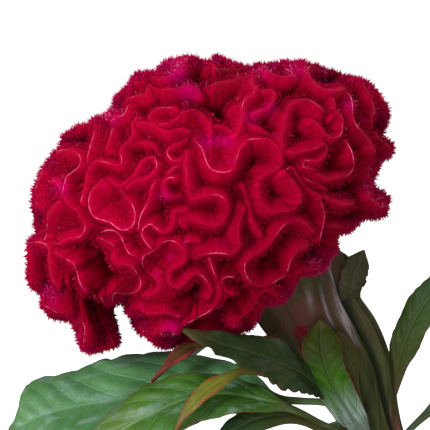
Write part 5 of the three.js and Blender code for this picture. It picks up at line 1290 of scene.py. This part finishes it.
# Painted pale glint on a few hairs, more of them where the magenta sheen is painted.
glinting = add_ramp(tree, add_math(tree, "MULTIPLY_ADD", magenta_sheen, 0.25, hair_glint), 0.98, 1, 0, 0.8)
tip_colour = add_mix(tree, edge, LIT_TIP_FRONT, LIT_TIP_RIM_SHEEN)
set_velvet(tree, add_layers(tree, colour, (lit_tip, tip_colour), (glinting, HAIR_GLINT_PINK)))

corners = surface[faces] * MM
face_area = np.linalg.norm(np.cross(corners[:, 1] - corners[:, 0], corners[:, 2] - corners[:, 0]), axis=1) / 2


def standing_hairs(seed, where):
    """A tree that stands leaning spikes on a surface. It keeps how near its tip each point is, and a random
    value that picks some spikes for a painted pale glint."""
    def make(tree, entry):
        dense, stand = (add_node(tree, "GeometryNodeInputNamedAttribute", {"Name": key}).outputs["Attribute"]
                        for key in (where, "stand"))
        spread = add_node(tree, "GeometryNodeDistributePointsOnFaces", {
            "Mesh": entry["Geometry"], "Seed": seed,
            "Density": add_math(tree, "MULTIPLY", dense, entry["Hairs per square metre"])})
        spike = add_node(tree, "GeometryNodeMeshCone", {
            "Vertices": HAIR_SIDES, "Radius Top": 0, "Radius Bottom": entry["Base radius"],
            "Depth": entry["Length"]})
        place = add_node(tree, "GeometryNodeInputPosition").outputs[0]
        height = add_node(tree, "ShaderNodeSeparateXYZ", {0: place}).outputs["Z"]
        tipped = add_node(tree, "GeometryNodeStoreNamedAttribute", {
            "Geometry": spike.outputs["Mesh"], "Name": "tip",
            "Value": add_math(tree, "DIVIDE", height, entry["Length"])}, data_type="FLOAT", domain="POINT")
        lean = add_node(tree, "FunctionNodeRandomValue", {
            "Min": (-HAIR_LEAN, -HAIR_LEAN, -HAIR_SPIN), "Max": (HAIR_LEAN, HAIR_LEAN, HAIR_SPIN),
            "Seed": seed + 20}, data_type="FLOAT_VECTOR")
        leaning = add_node(tree, "FunctionNodeRotateRotation", {
            "Rotation": spread.outputs["Rotation"], "Rotate By": lean.outputs[0]}, rotation_space="LOCAL")
        size = add_node(tree, "FunctionNodeRandomValue", {2: HAIR_LEAST, 3: 1, "Seed": seed + 40})
        placed = add_node(tree, "GeometryNodeInstanceOnPoints", {
            "Points": spread.outputs["Points"], "Instance": tipped.outputs[0], "Rotation": leaning.outputs[0],
            "Scale": add_math(tree, "MULTIPLY", size.outputs[1], stand)})
        tint = add_node(tree, "FunctionNodeRandomValue", {"Seed": seed + 60})
        return add_node(tree, "GeometryNodeStoreNamedAttribute", {
            "Geometry": placed.outputs[0], "Name": "hair_glint", "Value": tint.outputs[1]},
            data_type="FLOAT", domain="INSTANCE").outputs[0]
    return make


for name, seed, length, base, count, where in HAIR_SETS:
    weight = (face_area * crest_values[where][faces].mean(1)).sum()
    sizes = {"Hairs per square metre": count / weight, "Length": length * MM, "Base radius": base * MM}
    hairs = grown(name, carrier_for(name, crest), sizes, pile_hair, standing_hairs(seed, where))
    finish(hairs, pile_hair, "crest")


# Studio: a pale floor that runs far behind the pot, soft light from the whole room, and four soft boxes: the
# brightest in front on the left, and weaker ones overhead, low in front, and behind on the right.
FLOOR_SIDE = 6
FLOOR_BACK = 30
FLOOR_GREY, FLOOR_WHITE = (0.93, 0.93, 0.93), (0.95, 0.95, 0.95)
FLOOR_GLOW = 0.75
ROOM_LIGHT = 0.36
WHITE = (1, 1, 1, 1)
# Each soft box: its name, its place, what it points at, its width, all in metres, and its power in watts.
SOFT_BOXES = [
    ("left_key", (-0.75, -0.72, 0.58), (-0.06, 0, 0.22), 0.4, 8.2),
    ("overhead", (-0.1, -0.1, 1.2), (-0.05, 0, 0.22), 0.4, 2.5),
    ("low_front", (-0.1, -1, 0.08), (-0.05, 0, 0.2), 0.5, 4),
    ("right_back", (0.9, 0.5, 0.6), (-0.05, 0, 0.2), 0.5, 3.5),
]

corners = [(-FLOOR_SIDE, -FLOOR_SIDE, 0), (FLOOR_SIDE, -FLOOR_SIDE, 0), (FLOOR_SIDE, FLOOR_BACK, 0),
           (-FLOOR_SIDE, FLOOR_BACK, 0)]
floor = new_piece("floor", corners, [(0, 1, 2, 3)])
pale_floor, tree = new_material("pale_floor")
set_shader(tree, {"Base Color": add_mix(tree, add_noise(tree, 3, 2), FLOOR_GREY, FLOOR_WHITE), "Roughness": 0.9,
                  "Emission Color": WHITE, "Emission Strength": FLOOR_GLOW})
floor.data.materials.append(pale_floor)
floor.visible_diffuse = False
floor.visible_glossy = False

room = bpy.data.worlds.new("room")
bpy.context.scene.world = room
room.use_nodes = True
tree = room.node_tree
glow = tree.nodes["Background"]
set_inputs(tree, glow, {"Color": WHITE, "Strength": ROOM_LIGHT})
backdrop = add_node(tree, "ShaderNodeBackground", {"Color": WHITE, "Strength": 1})
ray = add_node(tree, "ShaderNodeLightPath")
either = add_node(tree, "ShaderNodeMixShader", {
    0: ray.outputs["Is Camera Ray"], 1: glow.outputs[0], 2: backdrop.outputs[0]})
set_inputs(tree, tree.nodes["World Output"], {"Surface": either.outputs[0]})
bpy.context.scene.view_settings.view_transform = "Standard"

for name, place, target, size, power in SOFT_BOXES:
    data = bpy.data.lights.new(name, "AREA")
    data.shape = "SQUARE"
    data.size = size
    data.energy = power
    lamp = bpy.data.objects.new(name, data)
    bpy.context.scene.collection.objects.link(lamp)
    lamp.location = place
    lamp.rotation_euler = (Vector(target) - Vector(place)).to_track_quat("-Z", "Y").to_euler()
